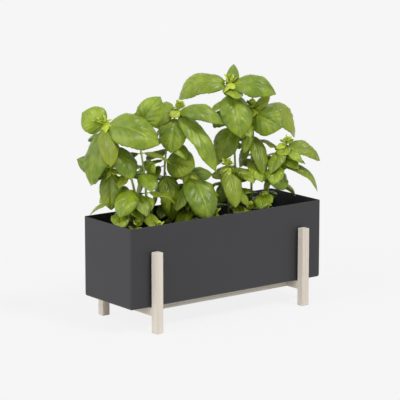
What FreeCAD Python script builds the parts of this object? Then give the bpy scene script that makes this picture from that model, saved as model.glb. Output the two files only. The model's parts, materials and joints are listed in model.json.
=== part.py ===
"""Indoor herb planter: a folded steel trough on a low ash stand, with three potted basil plants in it.

Millimetres, +Z up, +X along the trough, +Y to its back. The origin is on the floor, at the centre of
the four feet. Every sub-part is one STEP file of the same name in parts/.
"""
import FreeCAD
import Part

import collections
import math
import os

Vector = FreeCAD.Vector
UP = Vector(0, 0, 1)

# Trough, folded from sheet steel and welded at its corners
trough_length = 430.0
trough_depth = 144.0
trough_height = 145.0
sheet_thickness = 1.5
trough_bend_radius = 4.5

angle_tolerance = 0.01

# Stand, of square ash bars
leg_section = 15.0
leg_length = 145.0
leg_end_inset = 49.0
leg_trough_clearance = 2.5
rail_section = 15.0
rail_floor_gap = 30.0
long_rail_spacing = 75.0
bar_edge_radius = 1.0
dowel_diameter = 6.0
dowel_length = 20.0
dowel_clearance = 0.05
dowel_hole_spare = 0.6

# Nursery pots, thin moulded plastic
pot_spacing = 112.5
row_centre_shift = -22.5
pot_height = 98.0
pot_top_diameter = 94.0
pot_base_diameter = 70.0
pot_wall = 1.1
pot_lip_width = 1.8
pot_lip_height = 6.0
pot_drain_diameter = 8.0
pot_drain_circle = 42.0
pot_drain_count = 6

# Soil, as the root ball that fills each pot
soil_below_rim = 8.0
soil_clearance = 0.25

# Basil plants. plant_height is from the soil to the top of the tallest plant.
plant_height = 300.0
plan_turn_deg = 37.35
stem_base_diameter = 5.0
stem_top_diameter = 2.6
stem_sides = 6
stem_spans = 8
full_stem_height_share = 0.5
leaf_thickness = 0.8
leaf_spacing = 1.2
leaf_spacing_most_share = 0.03
leaf_ring_points = 8
petiole_diameter = 1.9
petiole_most_share = 0.25
petiole_gap = 0.3
young_leaf_length = 17.0
young_leaf_width = 9.5
young_pair_rises_deg = (20.0, 66.0)
young_pair_size_shares = (1.0, 0.7)
young_arch_share = 0.1
leaf_rim_clearance = 4.0
facet_tolerance = 0.008

# Inner leaves, which grow in opposite pairs at the nodes of each full shoot, behind the outer leaves.
# Lengths are shares of plant_height, and fall is how far the tip hangs below the joint, as a share of
# the leaf's length.
inner_shoot_share = 0.35
inner_node_shares = (0.26, 0.42, 0.58, 0.74, 0.88)
inner_length_shares = (0.15, 0.18, 0.19, 0.18, 0.15)
inner_breadth_share = 0.60
inner_fall_share = 0.40
inner_arch_share = 0.16
inner_turn_share = 0.37

# One leaf's outline and its section, as shares of the leaf's length and of its half width
petiole_share = 0.07
blade_station_shares = (0.08, 0.28, 0.50, 0.71, 0.88)
blade_breadth_shares = (0.50, 0.95, 1.00, 0.83, 0.50)
quarter_share = 0.56
edge_drop_share = 0.30
quarter_drop_share = 0.05
midrib_drop_share = 0.12
outward_lean_share = 0.6

# A leaf that would touch another turns sideways and up by the fewest of these steps that clear it.
# The plane that parts two plants' leaves in plan is looked for in plan_directions directions.
turn_step_deg = 3.5
most_swing_steps = 14
most_rise_steps = 6
crowded_size_shares = (1.0, 0.8, 0.6)
plan_directions = 72

# Places in a plant are shares of plant_height from the middle of its soil: across, towards the front
# left corner and up, in a plan turned by plan_turn_deg. A leaf joins its stem at along, a share of the
# stem, and its tip is at the place given. Breadth is a share of plant_height too, arch is a share of the
# leaf's own length, and roll is in degrees about the leaf's own line.
Shoot = collections.namedtuple("Shoot", "root bend top leaves")
Leaf = collections.namedtuple("Leaf", "along across toward up breadth arch roll")

left_plant_shares = (
    Shoot((-0.05, 0.00), (0.01, 0.02, 0.40), (-0.23, 0.03, 0.745), (
        Leaf(0.985, 0.095, 0.08, 0.625, 0.215, 0.21, 48),
        Leaf(0.955, -0.310, 0.10, 0.395, 0.190, 0.12, -12),
        Leaf(0.975, -0.360, -0.02, 0.800, 0.165, 0.18, -62),
        Leaf(0.98, -0.180, 0.19, 0.520, 0.115, 0.12, 5),
        Leaf(0.90, -0.31, -0.16, 0.60, 0.150, 0.14, 0),
        Leaf(0.81, -0.070, 0.13, 0.425, 0.160, 0.14, 0),
        Leaf(0.62, -0.092, 0.085, 0.420, 0.050, 0.10, -10),
        Leaf(0.45, -0.135, 0.20, 0.215, 0.130, 0.18, -15),
        Leaf(0.55, -0.24, -0.18, 0.30, 0.130, 0.15, 0),
    )),
    Shoot((0.02, -0.02), (0.03, -0.03, 0.38), (-0.05, -0.06, 0.74), (
        Leaf(0.94, 0.100, -0.055, 0.890, 0.150, 0.08, 70),
        Leaf(0.60, 0.055, -0.03, 0.505, 0.105, 0.08, 60),
        Leaf(0.40, 0.015, 0.12, 0.225, 0.095, 0.14, 0),
        Leaf(0.92, -0.18, -0.25, 0.62, 0.160, 0.16, 0),
        Leaf(0.62, -0.17, -0.23, 0.40, 0.140, 0.14, 0),
        Leaf(0.95, -0.22, -0.18, 0.70, 0.130, 0.12, 0),
    )),
    Shoot((-0.11, 0.03), (-0.13, 0.02, 0.25), (-0.190, 0.02, 0.475), (
        Leaf(0.97, -0.190, 0.075, 0.235, 0.130, 0.14, 0),
        Leaf(0.93, -0.395, -0.04, 0.520, 0.120, 0.06, -60),
        Leaf(0.80, -0.262, 0.02, 0.265, 0.070, 0.08, -40),
        Leaf(0.86, -0.262, -0.04, 0.350, 0.060, 0.06, -40),
    )),
    Shoot((-0.02, 0.10), (-0.02, 0.11, 0.08), (-0.03, 0.12, 0.15), (
        Leaf(0.80, -0.09, 0.13, 0.150, 0.040, 0.08, -30),
        Leaf(0.70, 0.030, 0.14, 0.140, 0.040, 0.08, 30),
    )),
    Shoot((0.08, 0.06), (0.08, 0.07, 0.07), (0.085, 0.08, 0.13), (
        Leaf(0.80, 0.135, 0.09, 0.135, 0.035, 0.06, 30),
        Leaf(0.70, 0.040, 0.10, 0.120, 0.035, 0.06, -30),
    )),
)

middle_plant_shares = (
    Shoot((-0.12, 0.00), (-0.25, 0.00, 0.44), (-0.096, 0.00, 0.79), (
        Leaf(0.970, -0.270, -0.09, 0.700, 0.180, 0.26, -48),
        Leaf(0.975, 0.170, 0.06, 0.705, 0.130, 0.26, 35),
        Leaf(0.93, -0.145, 0.145, 0.560, 0.160, 0.12, -8),
        Leaf(0.965, 0.128, 0.13, 0.430, 0.150, 0.14, 15),
        Leaf(0.58, 0.005, 0.09, 0.455, 0.175, 0.14, 62),
        Leaf(0.53, -0.350, 0.03, 0.265, 0.135, 0.16, -20),
        Leaf(0.48, -0.120, 0.08, 0.125, 0.140, 0.14, 8),
        Leaf(0.45, -0.255, -0.01, 0.100, 0.125, 0.10, -10),
        Leaf(0.90, -0.14, -0.17, 0.56, 0.150, 0.14, 0),
        Leaf(0.66, -0.28, -0.13, 0.45, 0.120, 0.12, 0),
    )),
    Shoot((0.00, 0.03), (-0.02, 0.03, 0.25), (-0.03, 0.04, 0.42), (
        Leaf(0.92, 0.090, 0.20, 0.150, 0.195, 0.16, 10),
        Leaf(0.95, 0.105, -0.04, 0.390, 0.090, 0.08, 50),
        Leaf(0.70, 0.11, 0.05, 0.210, 0.080, 0.12, 20),
        Leaf(0.60, -0.045, 0.11, 0.190, 0.040, 0.10, 0),
    )),
    Shoot((-0.04, -0.07), (-0.06, -0.08, 0.25), (-0.07, -0.09, 0.40), (
        Leaf(0.90, -0.16, -0.17, 0.45, 0.110, 0.14, 0),
        Leaf(0.70, -0.16, -0.18, 0.22, 0.120, 0.14, 0),
    )),
    Shoot((-0.02, 0.11), (-0.02, 0.12, 0.05), (-0.015, 0.13, 0.10), (
        Leaf(0.80, -0.07, 0.14, 0.105, 0.035, 0.06, -30),
        Leaf(0.75, 0.040, 0.14, 0.115, 0.035, 0.06, 30),
    )),
    Shoot((0.11, 0.04), (0.12, 0.05, 0.08), (0.12, 0.06, 0.16), (
        Leaf(0.85, 0.065, 0.07, 0.170, 0.035, 0.06, -30),
        Leaf(0.75, 0.165, 0.07, 0.150, 0.040, 0.06, 30),
    )),
)

right_plant_shares = (
    Shoot((-0.04, -0.01), (-0.045, 0.00, 0.47), (-0.083, -0.01, 0.915), (
        Leaf(0.985, -0.405, -0.06, 0.795, 0.165, 0.32, -45),
        Leaf(0.98, 0.196, 0.02, 0.845, 0.160, 0.25, 42),
        Leaf(0.93, -0.060, -0.06, 1.020, 0.078, 0.04, 0),
        Leaf(0.95, -0.035, 0.12, 0.835, 0.100, 0.12, 0),
        Leaf(0.93, -0.022, 0.16, 0.605, 0.195, 0.14, 0),
        Leaf(0.70, -0.145, 0.10, 0.450, 0.145, 0.12, -28),
        Leaf(0.82, -0.15, -0.22, 0.60, 0.170, 0.14, 0),
        Leaf(0.60, -0.17, -0.17, 0.42, 0.140, 0.14, 0),
    )),
    Shoot((0.05, -0.04), (0.05, -0.04, 0.36), (0.050, -0.04, 0.755), (
        Leaf(0.96, 0.230, 0.08, 0.650, 0.185, 0.12, 60),
        Leaf(0.985, 0.175, -0.03, 0.805, 0.075, 0.08, 50),
        Leaf(0.97, 0.315, -0.15, 0.550, 0.190, 0.36, 40),
        Leaf(0.87, 0.000, 0.06, 0.488, 0.065, 0.10, -25),
        Leaf(0.74, -0.022, -0.10, 0.371, 0.110, 0.12, -55),
        Leaf(0.79, 0.125, 0.10, 0.365, 0.100, 0.10, 5),
        Leaf(0.92, 0.08, -0.26, 0.60, 0.160, 0.16, 0),
        Leaf(0.62, 0.17, -0.24, 0.38, 0.150, 0.14, 0),
        Leaf(0.50, 0.00, -0.22, 0.26, 0.130, 0.14, 0),
    )),
    Shoot((0.10, 0.00), (0.13, 0.00, 0.28), (0.256, 0.03, 0.545), (
        Leaf(0.98, 0.468, -0.02, 0.430, 0.115, 0.24, 38),
        Leaf(0.93, 0.355, 0.10, 0.435, 0.060, 0.20, 28),
        Leaf(0.97, 0.226, 0.11, 0.484, 0.085, 0.10, 0),
        Leaf(0.86, 0.335, 0.06, 0.395, 0.090, 0.16, 32),
        Leaf(0.95, 0.150, 0.15, 0.390, 0.100, 0.12, 0),
        Leaf(0.68, 0.245, 0.06, 0.262, 0.120, 0.12, 25),
        Leaf(0.76, 0.455, -0.04, 0.232, 0.078, 0.26, 35),
        Leaf(0.60, 0.125, -0.02, 0.240, 0.085, 0.12, -40),
        Leaf(0.88, 0.30, -0.17, 0.42, 0.130, 0.14, 0),
        Leaf(0.64, 0.22, -0.17, 0.27, 0.120, 0.14, 0),
    )),
    Shoot((-0.08, 0.07), (-0.10, 0.09, 0.20), (-0.100, 0.12, 0.427), (
        Leaf(0.96, -0.065, 0.25, 0.190, 0.120, 0.12, 0),
        Leaf(0.93, 0.014, 0.16, 0.345, 0.058, 0.18, 10),
        Leaf(0.76, -0.150, 0.17, 0.230, 0.090, 0.10, -35),
        Leaf(0.88, -0.20, 0.08, 0.36, 0.075, 0.10, -40),
    )),
    Shoot((0.03, 0.08), (0.03, 0.09, 0.08), (0.035, 0.11, 0.155), (
        Leaf(0.80, 0.085, 0.13, 0.150, 0.040, 0.06, 30),
        Leaf(0.70, -0.010, 0.14, 0.135, 0.040, 0.06, -30),
    )),
    Shoot((0.10, 0.05), (0.11, 0.06, 0.10), (0.125, 0.07, 0.21), (
        Leaf(0.90, 0.170, 0.09, 0.215, 0.050, 0.06, 30),
        Leaf(0.60, 0.070, 0.10, 0.140, 0.045, 0.06, -30),
    )),
    Shoot((-0.03, 0.12), (-0.03, 0.12, 0.06), (-0.04, 0.13, 0.12), (
        Leaf(0.80, -0.09, 0.15, 0.125, 0.040, 0.06, -30),
        Leaf(0.75, 0.010, 0.16, 0.110, 0.040, 0.06, 30),
    )),
)

PLANTS = (
    ("left", -1, left_plant_shares),
    ("middle", 0, middle_plant_shares),
    ("right", 1, right_plant_shares),
)

# Heights and places that follow from the sizes
cross_rail_bottom = rail_floor_gap
trough_bottom = rail_floor_gap + rail_section
trough_floor = trough_bottom + sheet_thickness
trough_rim = trough_bottom + trough_height
leg_inner_y = trough_depth / 2 + leg_trough_clearance
leg_centre_y = leg_inner_y + leg_section / 2
leg_centre_x = trough_length / 2 - leg_end_inset
pot_rim = trough_floor + pot_height
soil_top = pot_rim - soil_below_rim


def block(low, high):
    """A box between two corners."""
    size = high - low
    return Part.makeBox(size.x, size.y, size.z, low)


def eased(bar, radius):
    """A bar with all its edges rounded."""
    return bar.makeFillet(radius, bar.Edges)


def on_line(edge, direction):
    """Is a straight edge parallel to a direction?"""
    return edge.tangentAt(edge.FirstParameter).cross(direction).Length < angle_tolerance


def shell_block(length, depth, low, high, radius):
    """A block whose upright and bottom edges are rounded, as a folded sheet's are."""
    made = block(Vector(-length / 2, -depth / 2, low), Vector(length / 2, depth / 2, high))
    upright = [edge for edge in made.Edges if on_line(edge, UP)]
    made = made.makeFillet(radius, upright)
    bottom = [edge for edge in made.Edges if edge.BoundBox.ZMax < low + radius / 2]
    return made.makeFillet(radius, bottom)


def make_trough():
    """The open trough, one sheet thick, with rounded bends."""
    inner_length = trough_length - 2 * sheet_thickness
    inner_depth = trough_depth - 2 * sheet_thickness
    outside = shell_block(trough_length, trough_depth, trough_bottom, trough_rim, trough_bend_radius)
    inside = shell_block(inner_length, inner_depth, trough_floor, trough_rim + sheet_thickness,
                         trough_bend_radius - sheet_thickness)
    return outside.cut(inside)


def dowel_places():
    """Each dowel's joint face centre and its direction: legs to cross rails, then long rails to cross rails."""
    height = rail_floor_gap + rail_section / 2
    leg_joints = [
        (Vector(x * leg_centre_x, y * leg_inner_y, height), Vector(0, 1, 0)) for x in (-1, 1) for y in (-1, 1)
    ]
    rail_joints = [
        (Vector(x * (leg_centre_x - rail_section / 2), y * long_rail_spacing / 2, height), Vector(1, 0, 0))
        for x in (-1, 1) for y in (-1, 1)
    ]
    return leg_joints, rail_joints


def dowel(place, direction, diameter, length):
    """A cylinder centred on a joint face."""
    return Part.makeCylinder(diameter / 2, length, place - direction * (length / 2), direction)


def bored(bar, joints):
    """A bar with the dowel holes of the joints that reach into it."""
    hole_diameter = dowel_diameter + 2 * dowel_clearance
    hole_length = dowel_length + 2 * dowel_hole_spare
    for place, direction in joints:
        bar = bar.cut(dowel(place, direction, hole_diameter, hole_length))
    return bar


def make_stand():
    """Legs, cross rails, long rails and the dowels that join them, by node name."""
    leg_joints, rail_joints = dowel_places()
    nodes = {}
    half = leg_section / 2
    for side, x in (("left", -1), ("right", 1)):
        for end, y in (("front", -1), ("back", 1)):
            centre = Vector(x * leg_centre_x, y * leg_centre_y, 0)
            low = centre - Vector(half, half, 0)
            leg = block(low, centre + Vector(half, half, leg_length))
            nodes[f"leg_{end}_{side}"] = bored(eased(leg, bar_edge_radius), leg_joints)
        low = Vector(x * leg_centre_x - rail_section / 2, -leg_inner_y, rail_floor_gap)
        high = Vector(x * leg_centre_x + rail_section / 2, leg_inner_y, trough_bottom)
        rail = eased(block(low, high), bar_edge_radius)
        nodes[f"cross_rail_{side}"] = bored(rail, leg_joints + rail_joints)
    rail_end = leg_centre_x - rail_section / 2
    for end, y in (("front", -1), ("back", 1)):
        centre_y = y * long_rail_spacing / 2
        low = Vector(-rail_end, centre_y - rail_section / 2, rail_floor_gap)
        high = Vector(rail_end, centre_y + rail_section / 2, trough_bottom)
        nodes[f"long_rail_{end}"] = bored(eased(block(low, high), bar_edge_radius), rail_joints)
    for name, joints in (("leg_dowels", leg_joints), ("rail_dowels", rail_joints)):
        nodes[name] = Part.makeCompound([dowel(*joint, dowel_diameter, dowel_length) for joint in joints])
    return nodes


def pot_axis_x(place):
    """The X of a pot's axis, from its place in the row."""
    return row_centre_shift + place * pot_spacing


def cone(base_radius, top_radius, low, high, x):
    """An upright frustum on a pot's axis."""
    return Part.makeCone(base_radius, top_radius, high - low, Vector(x, 0, low))


def pot_radius(height):
    """The pot's outer radius at a height above its base."""
    base, top = pot_base_diameter / 2, pot_top_diameter / 2
    return base + (top - base) * height / pot_height


def make_pot(x):
    """A tapered nursery pot with a lip at its rim and drain holes in its base."""
    body = cone(pot_radius(0), pot_radius(pot_height), trough_floor, pot_rim, x)
    lip_radius = pot_radius(pot_height) + pot_lip_width
    lip = Part.makeCylinder(lip_radius, pot_lip_height, Vector(x, 0, pot_rim - pot_lip_height))
    hollow = cone(pot_radius(pot_wall) - pot_wall, pot_radius(pot_height) - pot_wall,
                  trough_floor + pot_wall, pot_rim, x)
    pot = body.fuse(lip).removeSplitter().cut(hollow)
    for n in range(pot_drain_count):
        turn = 2 * math.pi * n / pot_drain_count
        centre = Vector(x, 0, trough_floor) + Vector(math.cos(turn), math.sin(turn), 0) * (pot_drain_circle / 2)
        pot = pot.cut(Part.makeCylinder(pot_drain_diameter / 2, 2 * pot_wall, centre - UP * (pot_wall / 2)))
    return pot


def make_soil(x):
    """The root ball, which rests on the pot's floor and stands just clear of its wall."""
    low = pot_wall + soil_clearance
    base = pot_radius(low) - pot_wall - soil_clearance
    top = pot_radius(pot_height - soil_below_rim) - pot_wall - soil_clearance
    return cone(base, top, trough_floor + pot_wall, soil_top, x)


def in_plant(x, across, toward, up=0.0):
    """A place in a plant, from shares of the plant's height in the turned plan."""
    turn = math.radians(plan_turn_deg)
    right = Vector(math.cos(turn), -math.sin(turn), 0)
    front = Vector(-math.sin(turn), -math.cos(turn), 0)
    return Vector(x, 0, soil_top) + (right * across + front * toward + UP * up) * plant_height


class Stem:
    """A shoot's stem: a quadratic curve from the soil, through the pull of its bend, to its top."""

    def __init__(self, x, shoot):
        self.root = in_plant(x, *shoot.root)
        self.bend = in_plant(x, *shoot.bend)
        self.top = in_plant(x, *shoot.top)

    def at(self, share):
        return (self.root * (1 - share) ** 2 + self.bend * (2 * share * (1 - share))
                + self.top * share ** 2)

    def direction(self, share):
        pull = (self.bend - self.root) * (1 - share) + (self.top - self.bend) * share
        return pull.normalize()

    def radius(self, share):
        # a shoot that is shorter than this share of the plant is as much thinner
        vigour = min(1.0, (self.top.z - soil_top) / (plant_height * full_stem_height_share))
        return (stem_base_diameter + (stem_top_diameter - stem_base_diameter) * share) / 2 * vigour

    def rings(self):
        """Rings of points up the stem. The first is level, so that it stands on the soil."""
        made = []
        for n in range(stem_spans + 1):
            share = n / stem_spans
            line = self.direction(share) if n else UP
            side = line.cross(Vector(1, 0, 0)).normalize()
            other = line.cross(side)
            turns = [2 * math.pi * k / stem_sides for k in range(stem_sides)]
            radius = self.radius(share)
            made.append([self.at(share) + (side * math.cos(a) + other * math.sin(a)) * radius for a in turns])
        return made

    def tip(self):
        """The point that closes the stem, as far above its last ring as the stem is thick there."""
        return self.top + self.direction(1) * (2 * self.radius(1))

    def seat(self, share, aim, width):
        """Where a leaf's petiole starts: beside the stem, with room for its tilted end."""
        joint, line = self.at(share), self.direction(share)
        outward = (aim - joint).normalize()
        lengthwise = outward.dot(line)
        beside = (outward - line * lengthwise).normalize()
        return joint + beside * (self.radius(share) + petiole_gap + petiole_radius(width) * abs(lengthwise))


def petiole_radius(width):
    """A petiole's radius, which is less on a narrow leaf."""
    return min(petiole_diameter, width * petiole_most_share) / 2


def leaf_line(start, tip, roll):
    """A leaf's length, its direction, the normal of its face and its side, after its roll."""
    run = tip - start
    length = run.Length
    along = run * (1 / length)
    level = Vector(run.x, run.y, 0)
    outward = level * (1 / level.Length) if level.Length > leaf_thickness else Vector(0, -1, 0)
    lift = UP + outward * outward_lean_share
    face = (lift - along * lift.dot(along)).normalize()
    angle = math.radians(roll)
    face = face * math.cos(angle) + along.cross(face) * math.sin(angle)
    return length, along, face, along.cross(face)


def leaf_rings(start, tip, width, arch, roll):
    """Rings of eight points along a leaf: its petiole, then its cupped blade. The tip closes it."""
    length, along, face, side = leaf_line(start, tip, roll)

    def middle(share):
        return start + along * (length * share) + face * (arch * length * 4 * share * (1 - share))

    radius = petiole_radius(width)
    rings = []
    for share in (0.0, petiole_share):
        turns = [math.pi - 2 * math.pi * k / leaf_ring_points for k in range(leaf_ring_points)]
        rings.append([middle(share) + (side * math.cos(a) + face * math.sin(a)) * radius for a in turns])
    for station, breadth in zip(blade_station_shares, blade_breadth_shares):
        share = petiole_share + (1 - petiole_share) * station
        half = width / 2 * breadth
        centre = middle(share)
        edge = -edge_drop_share * half
        quarter = -quarter_drop_share * half
        groove = -midrib_drop_share * half
        skin = leaf_thickness / 2
        section = (
            (-1, edge), (-quarter_share, quarter + skin), (0, groove + skin), (quarter_share, quarter + skin),
            (1, edge), (quarter_share, quarter - skin), (0, groove - skin), (-quarter_share, quarter - skin),
        )
        rings.append([centre + side * (half * x) + face * z for x, z in section])
    return rings


def ring_facets(count, sides):
    """The facets of a closed skin of rings, flat at its first ring and pointed at its tip."""
    facets = []
    for ring in range(count - 1):
        for k in range(sides):
            a, b = ring * sides + k, ring * sides + (k + 1) % sides
            c, d = a + sides, b + sides
            facets += [(a, b, d), (a, d, c)]
    last = (count - 1) * sides
    facets += [(last + k, last + (k + 1) % sides, count * sides) for k in range(sides)]
    # the flat end is laced across from side to side
    low, high = 0, sides - 1
    while high - low > 1:
        facets.append((low, high, low + 1))
        low += 1
        if high - low > 1:
            facets.append((low, high, high - 1))
            high -= 1
    return facets


def ring_solid(rings, tip):
    """A closed solid of flat facets through rings of points, which ends in a tip."""
    points = [tuple(point) for ring in rings for point in ring] + [tuple(tip)]
    shell = Part.Shape()
    shell.makeShapeFromMesh((points, ring_facets(len(rings), len(rings[0]))), facet_tolerance)
    solid = Part.makeSolid(shell)
    if solid.Volume < 0:
        solid.reverse()
    return solid


class Skin:
    """A thin surface of triangles, kept to test whether two pieces of a plant touch."""

    def __init__(self, plant, name, rows, tip):
        self.plant = plant
        self.name = name
        columns = len(rows[0])
        points = [tuple(point) for row in rows for point in row] + [tuple(tip)]
        self.points = points
        facets = []
        for row in range(len(rows) - 1):
            for k in range(columns - 1):
                a, c = row * columns + k, (row + 1) * columns + k
                facets += [(a, a + 1, c + 1), (a, c + 1, c)]
        last = (len(rows) - 1) * columns
        facets += [(last + k, last + k + 1, len(points) - 1) for k in range(columns - 1)]
        self.facets = [tuple(points[n] for n in facet) for facet in facets]
        pairs = {tuple(sorted(pair)) for a, b, c in facets for pair in ((a, b), (b, c), (a, c))}
        self.edges = [(points[a], points[b]) for a, b in sorted(pairs)]
        self.low = tuple(min(point[n] for point in points) for n in range(3))
        self.high = tuple(max(point[n] for point in points) for n in range(3))

    def near(self, other, gap, axes=(0, 1, 2)):
        return all(self.low[n] - gap < other.high[n] and other.low[n] - gap < self.high[n] for n in axes)

    def cuts(self, other):
        """Does an edge of this skin pass through a facet of the other?"""
        edges = [edge for edge in self.edges if reaches(edge, other.low, other.high)]
        if not edges:
            return False
        facets = [facet for facet in other.facets if reaches(facet, self.low, self.high)]
        return any(pierces(edge, facet) for facet in facets for edge in edges if boxes_meet(edge, facet))

    def apart_in_plan(self, other, gap):
        """Is there an upright plane between the two?"""
        for n in range(plan_directions):
            turn = 2 * math.pi * n / plan_directions
            x, y = math.cos(turn), math.sin(turn)
            most = max(point[0] * x + point[1] * y for point in self.points)
            least = min(point[0] * x + point[1] * y for point in other.points)
            if most + gap < least:
                return True
        return False


def reaches(points, low, high):
    """Does the box of some points meet a box?"""
    for n in range(3):
        values = [point[n] for point in points]
        if max(values) < low[n] or min(values) > high[n]:
            return False
    return True


def boxes_meet(edge, facet):
    """Do the boxes of an edge and of a facet meet?"""
    (ax, ay, az), (bx, by, bz) = edge
    (px, py, pz), (qx, qy, qz), (rx, ry, rz) = facet
    return (min(ax, bx) <= max(px, qx, rx) and max(ax, bx) >= min(px, qx, rx)
            and min(ay, by) <= max(py, qy, ry) and max(ay, by) >= min(py, qy, ry)
            and min(az, bz) <= max(pz, qz, rz) and max(az, bz) >= min(pz, qz, rz))


def pierces(edge, facet):
    """Does a straight edge pass through a triangle?"""
    (ax, ay, az), (bx, by, bz) = edge
    (px, py, pz), (qx, qy, qz), (rx, ry, rz) = facet
    ux, uy, uz = qx - px, qy - py, qz - pz
    vx, vy, vz = rx - px, ry - py, rz - pz
    dx, dy, dz = bx - ax, by - ay, bz - az
    hx, hy, hz = dy * vz - dz * vy, dz * vx - dx * vz, dx * vy - dy * vx
    det = ux * hx + uy * hy + uz * hz
    if det == 0:
        return False
    sx, sy, sz = ax - px, ay - py, az - pz
    u = (sx * hx + sy * hy + sz * hz) / det
    if u < 0 or u > 1:
        return False
    kx, ky, kz = sy * uz - sz * uy, sz * ux - sx * uz, sx * uy - sy * ux
    v = (dx * kx + dy * ky + dz * kz) / det
    if v < 0 or u + v > 1:
        return False
    t = (vx * kx + vy * ky + vz * kz) / det
    return 0 <= t <= 1


def leaf_skins(plant, name, rings, tip, face, width):
    """A leaf's middle surface, that surface moved to both sides by the room it needs, and its blade alone."""
    rows = [[ring[0], (ring[1] + ring[7]) * 0.5, (ring[2] + ring[6]) * 0.5, (ring[3] + ring[5]) * 0.5, ring[4]]
            for ring in rings]
    room = leaf_thickness + min(leaf_spacing, width * leaf_spacing_most_share)
    made = []
    for shift in (0.0, room, -room):
        move = face * shift
        made.append(Skin(plant, name, [[point + move for point in row] for row in rows], tip + move))
    return made, Skin(plant, name, rows[2:], tip)


def stem_skin(plant, name, stem):
    """A stem's outside, opened along one side."""
    rings = stem.rings()
    return Skin(plant, name, [ring + ring[:1] for ring in rings], stem.tip())


def pot_skin(plant, x):
    """A pot's outside as a drum as wide as its lip. It is what the pot sweeps when it is lifted out."""
    radius = pot_radius(pot_height) + pot_lip_width
    turns = [2 * math.pi * k / plan_directions for k in range(plan_directions + 1)]
    rows = [[Vector(x + math.cos(a) * radius, math.sin(a) * radius, z) for a in turns]
            for z in (trough_floor, pot_rim)]
    return Skin(plant, f"{plant} pot", rows, Vector(x, 0, pot_rim))


def clear_of_trough(skin):
    """Is a leaf above the rim wherever it isn't well inside the trough, and above the pots' rims?"""
    inner_x = trough_length / 2 - sheet_thickness - leaf_rim_clearance
    inner_y = trough_depth / 2 - sheet_thickness - leaf_rim_clearance
    for x, y, z in skin.points:
        inside = abs(x) < inner_x and abs(y) < inner_y
        floor = pot_rim if inside else trough_rim
        if z < floor + leaf_rim_clearance:
            return False
    return True


def in_the_way(skins, blade, placed, own_stem):
    """What a leaf would touch: the trough or a placed piece. Other plants have to lie beside it in plan as well."""
    middle = skins[0]
    if not clear_of_trough(middle):
        return "the trough"
    for other in placed:
        if other is own_stem:
            if blade.near(other, leaf_spacing) and (blade.cuts(other) or other.cuts(blade)):
                return other.name
        elif other.plant != middle.plant:
            if middle.near(other, leaf_spacing, (0, 1)) and not (
                    middle.apart_in_plan(other, leaf_spacing) or other.apart_in_plan(middle, leaf_spacing)):
                return other.name
        elif middle.near(other, leaf_spacing + leaf_thickness):
            if any(skin.cuts(other) or other.cuts(skin) for skin in skins):
                return other.name
    return ""


def growth_steps():
    """A leaf's size with numbers of steps to swing and to rise: the largest size first, then the least turn."""
    swings = range(-most_swing_steps, most_swing_steps + 1)
    rises = range(-most_rise_steps, most_rise_steps + 1)
    turns = sorted(((swing, rise) for swing in swings for rise in rises), key=lambda step: math.hypot(*step))
    return [(size, swing, rise) for size in crowded_size_shares for swing, rise in turns]


def turned(start, tip, size, swing, rise):
    """A leaf's tip, drawn in by a size, turned about the upright through its start and raised, in degrees."""
    run = tip - start
    level = math.hypot(run.x, run.y)
    heading = math.atan2(run.y, run.x) + math.radians(swing)
    pitch = math.atan2(run.z, level) + math.radians(rise)
    reach = run.Length * size
    return start + Vector(math.cos(heading) * math.cos(pitch), math.sin(heading) * math.cos(pitch),
                          math.sin(pitch)) * reach


def grow_leaf(plant, name, stem, own_stem, share, tip, width, arch, roll, placed):
    """A leaf's solid, turned and if need be shrunk as little as it takes to be clear of what is placed.

    A list of one, or an empty list where the leaf has no room at any size."""
    start = stem.seat(share, tip, width)
    first_touched = ""
    for size, swing, rise in growth_steps():
        aim = turned(start, tip, size, swing * turn_step_deg, rise * turn_step_deg)
        rings = leaf_rings(start, aim, width * size, arch, roll)
        face = leaf_line(start, aim, roll)[2]
        skins, blade = leaf_skins(plant, name, rings, aim, face, width * size)
        touched = in_the_way(skins, blade, placed, own_stem)
        if not touched:
            break
        first_touched = first_touched or touched
    else:
        print(f"no clear place for {name}")
        return []
    if first_touched:
        print(f"{name} of size {size} turned by {swing} and {rise} steps, clear of {first_touched}")
    placed.append(skins[0])
    return [ring_solid(rings, aim)]


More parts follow.
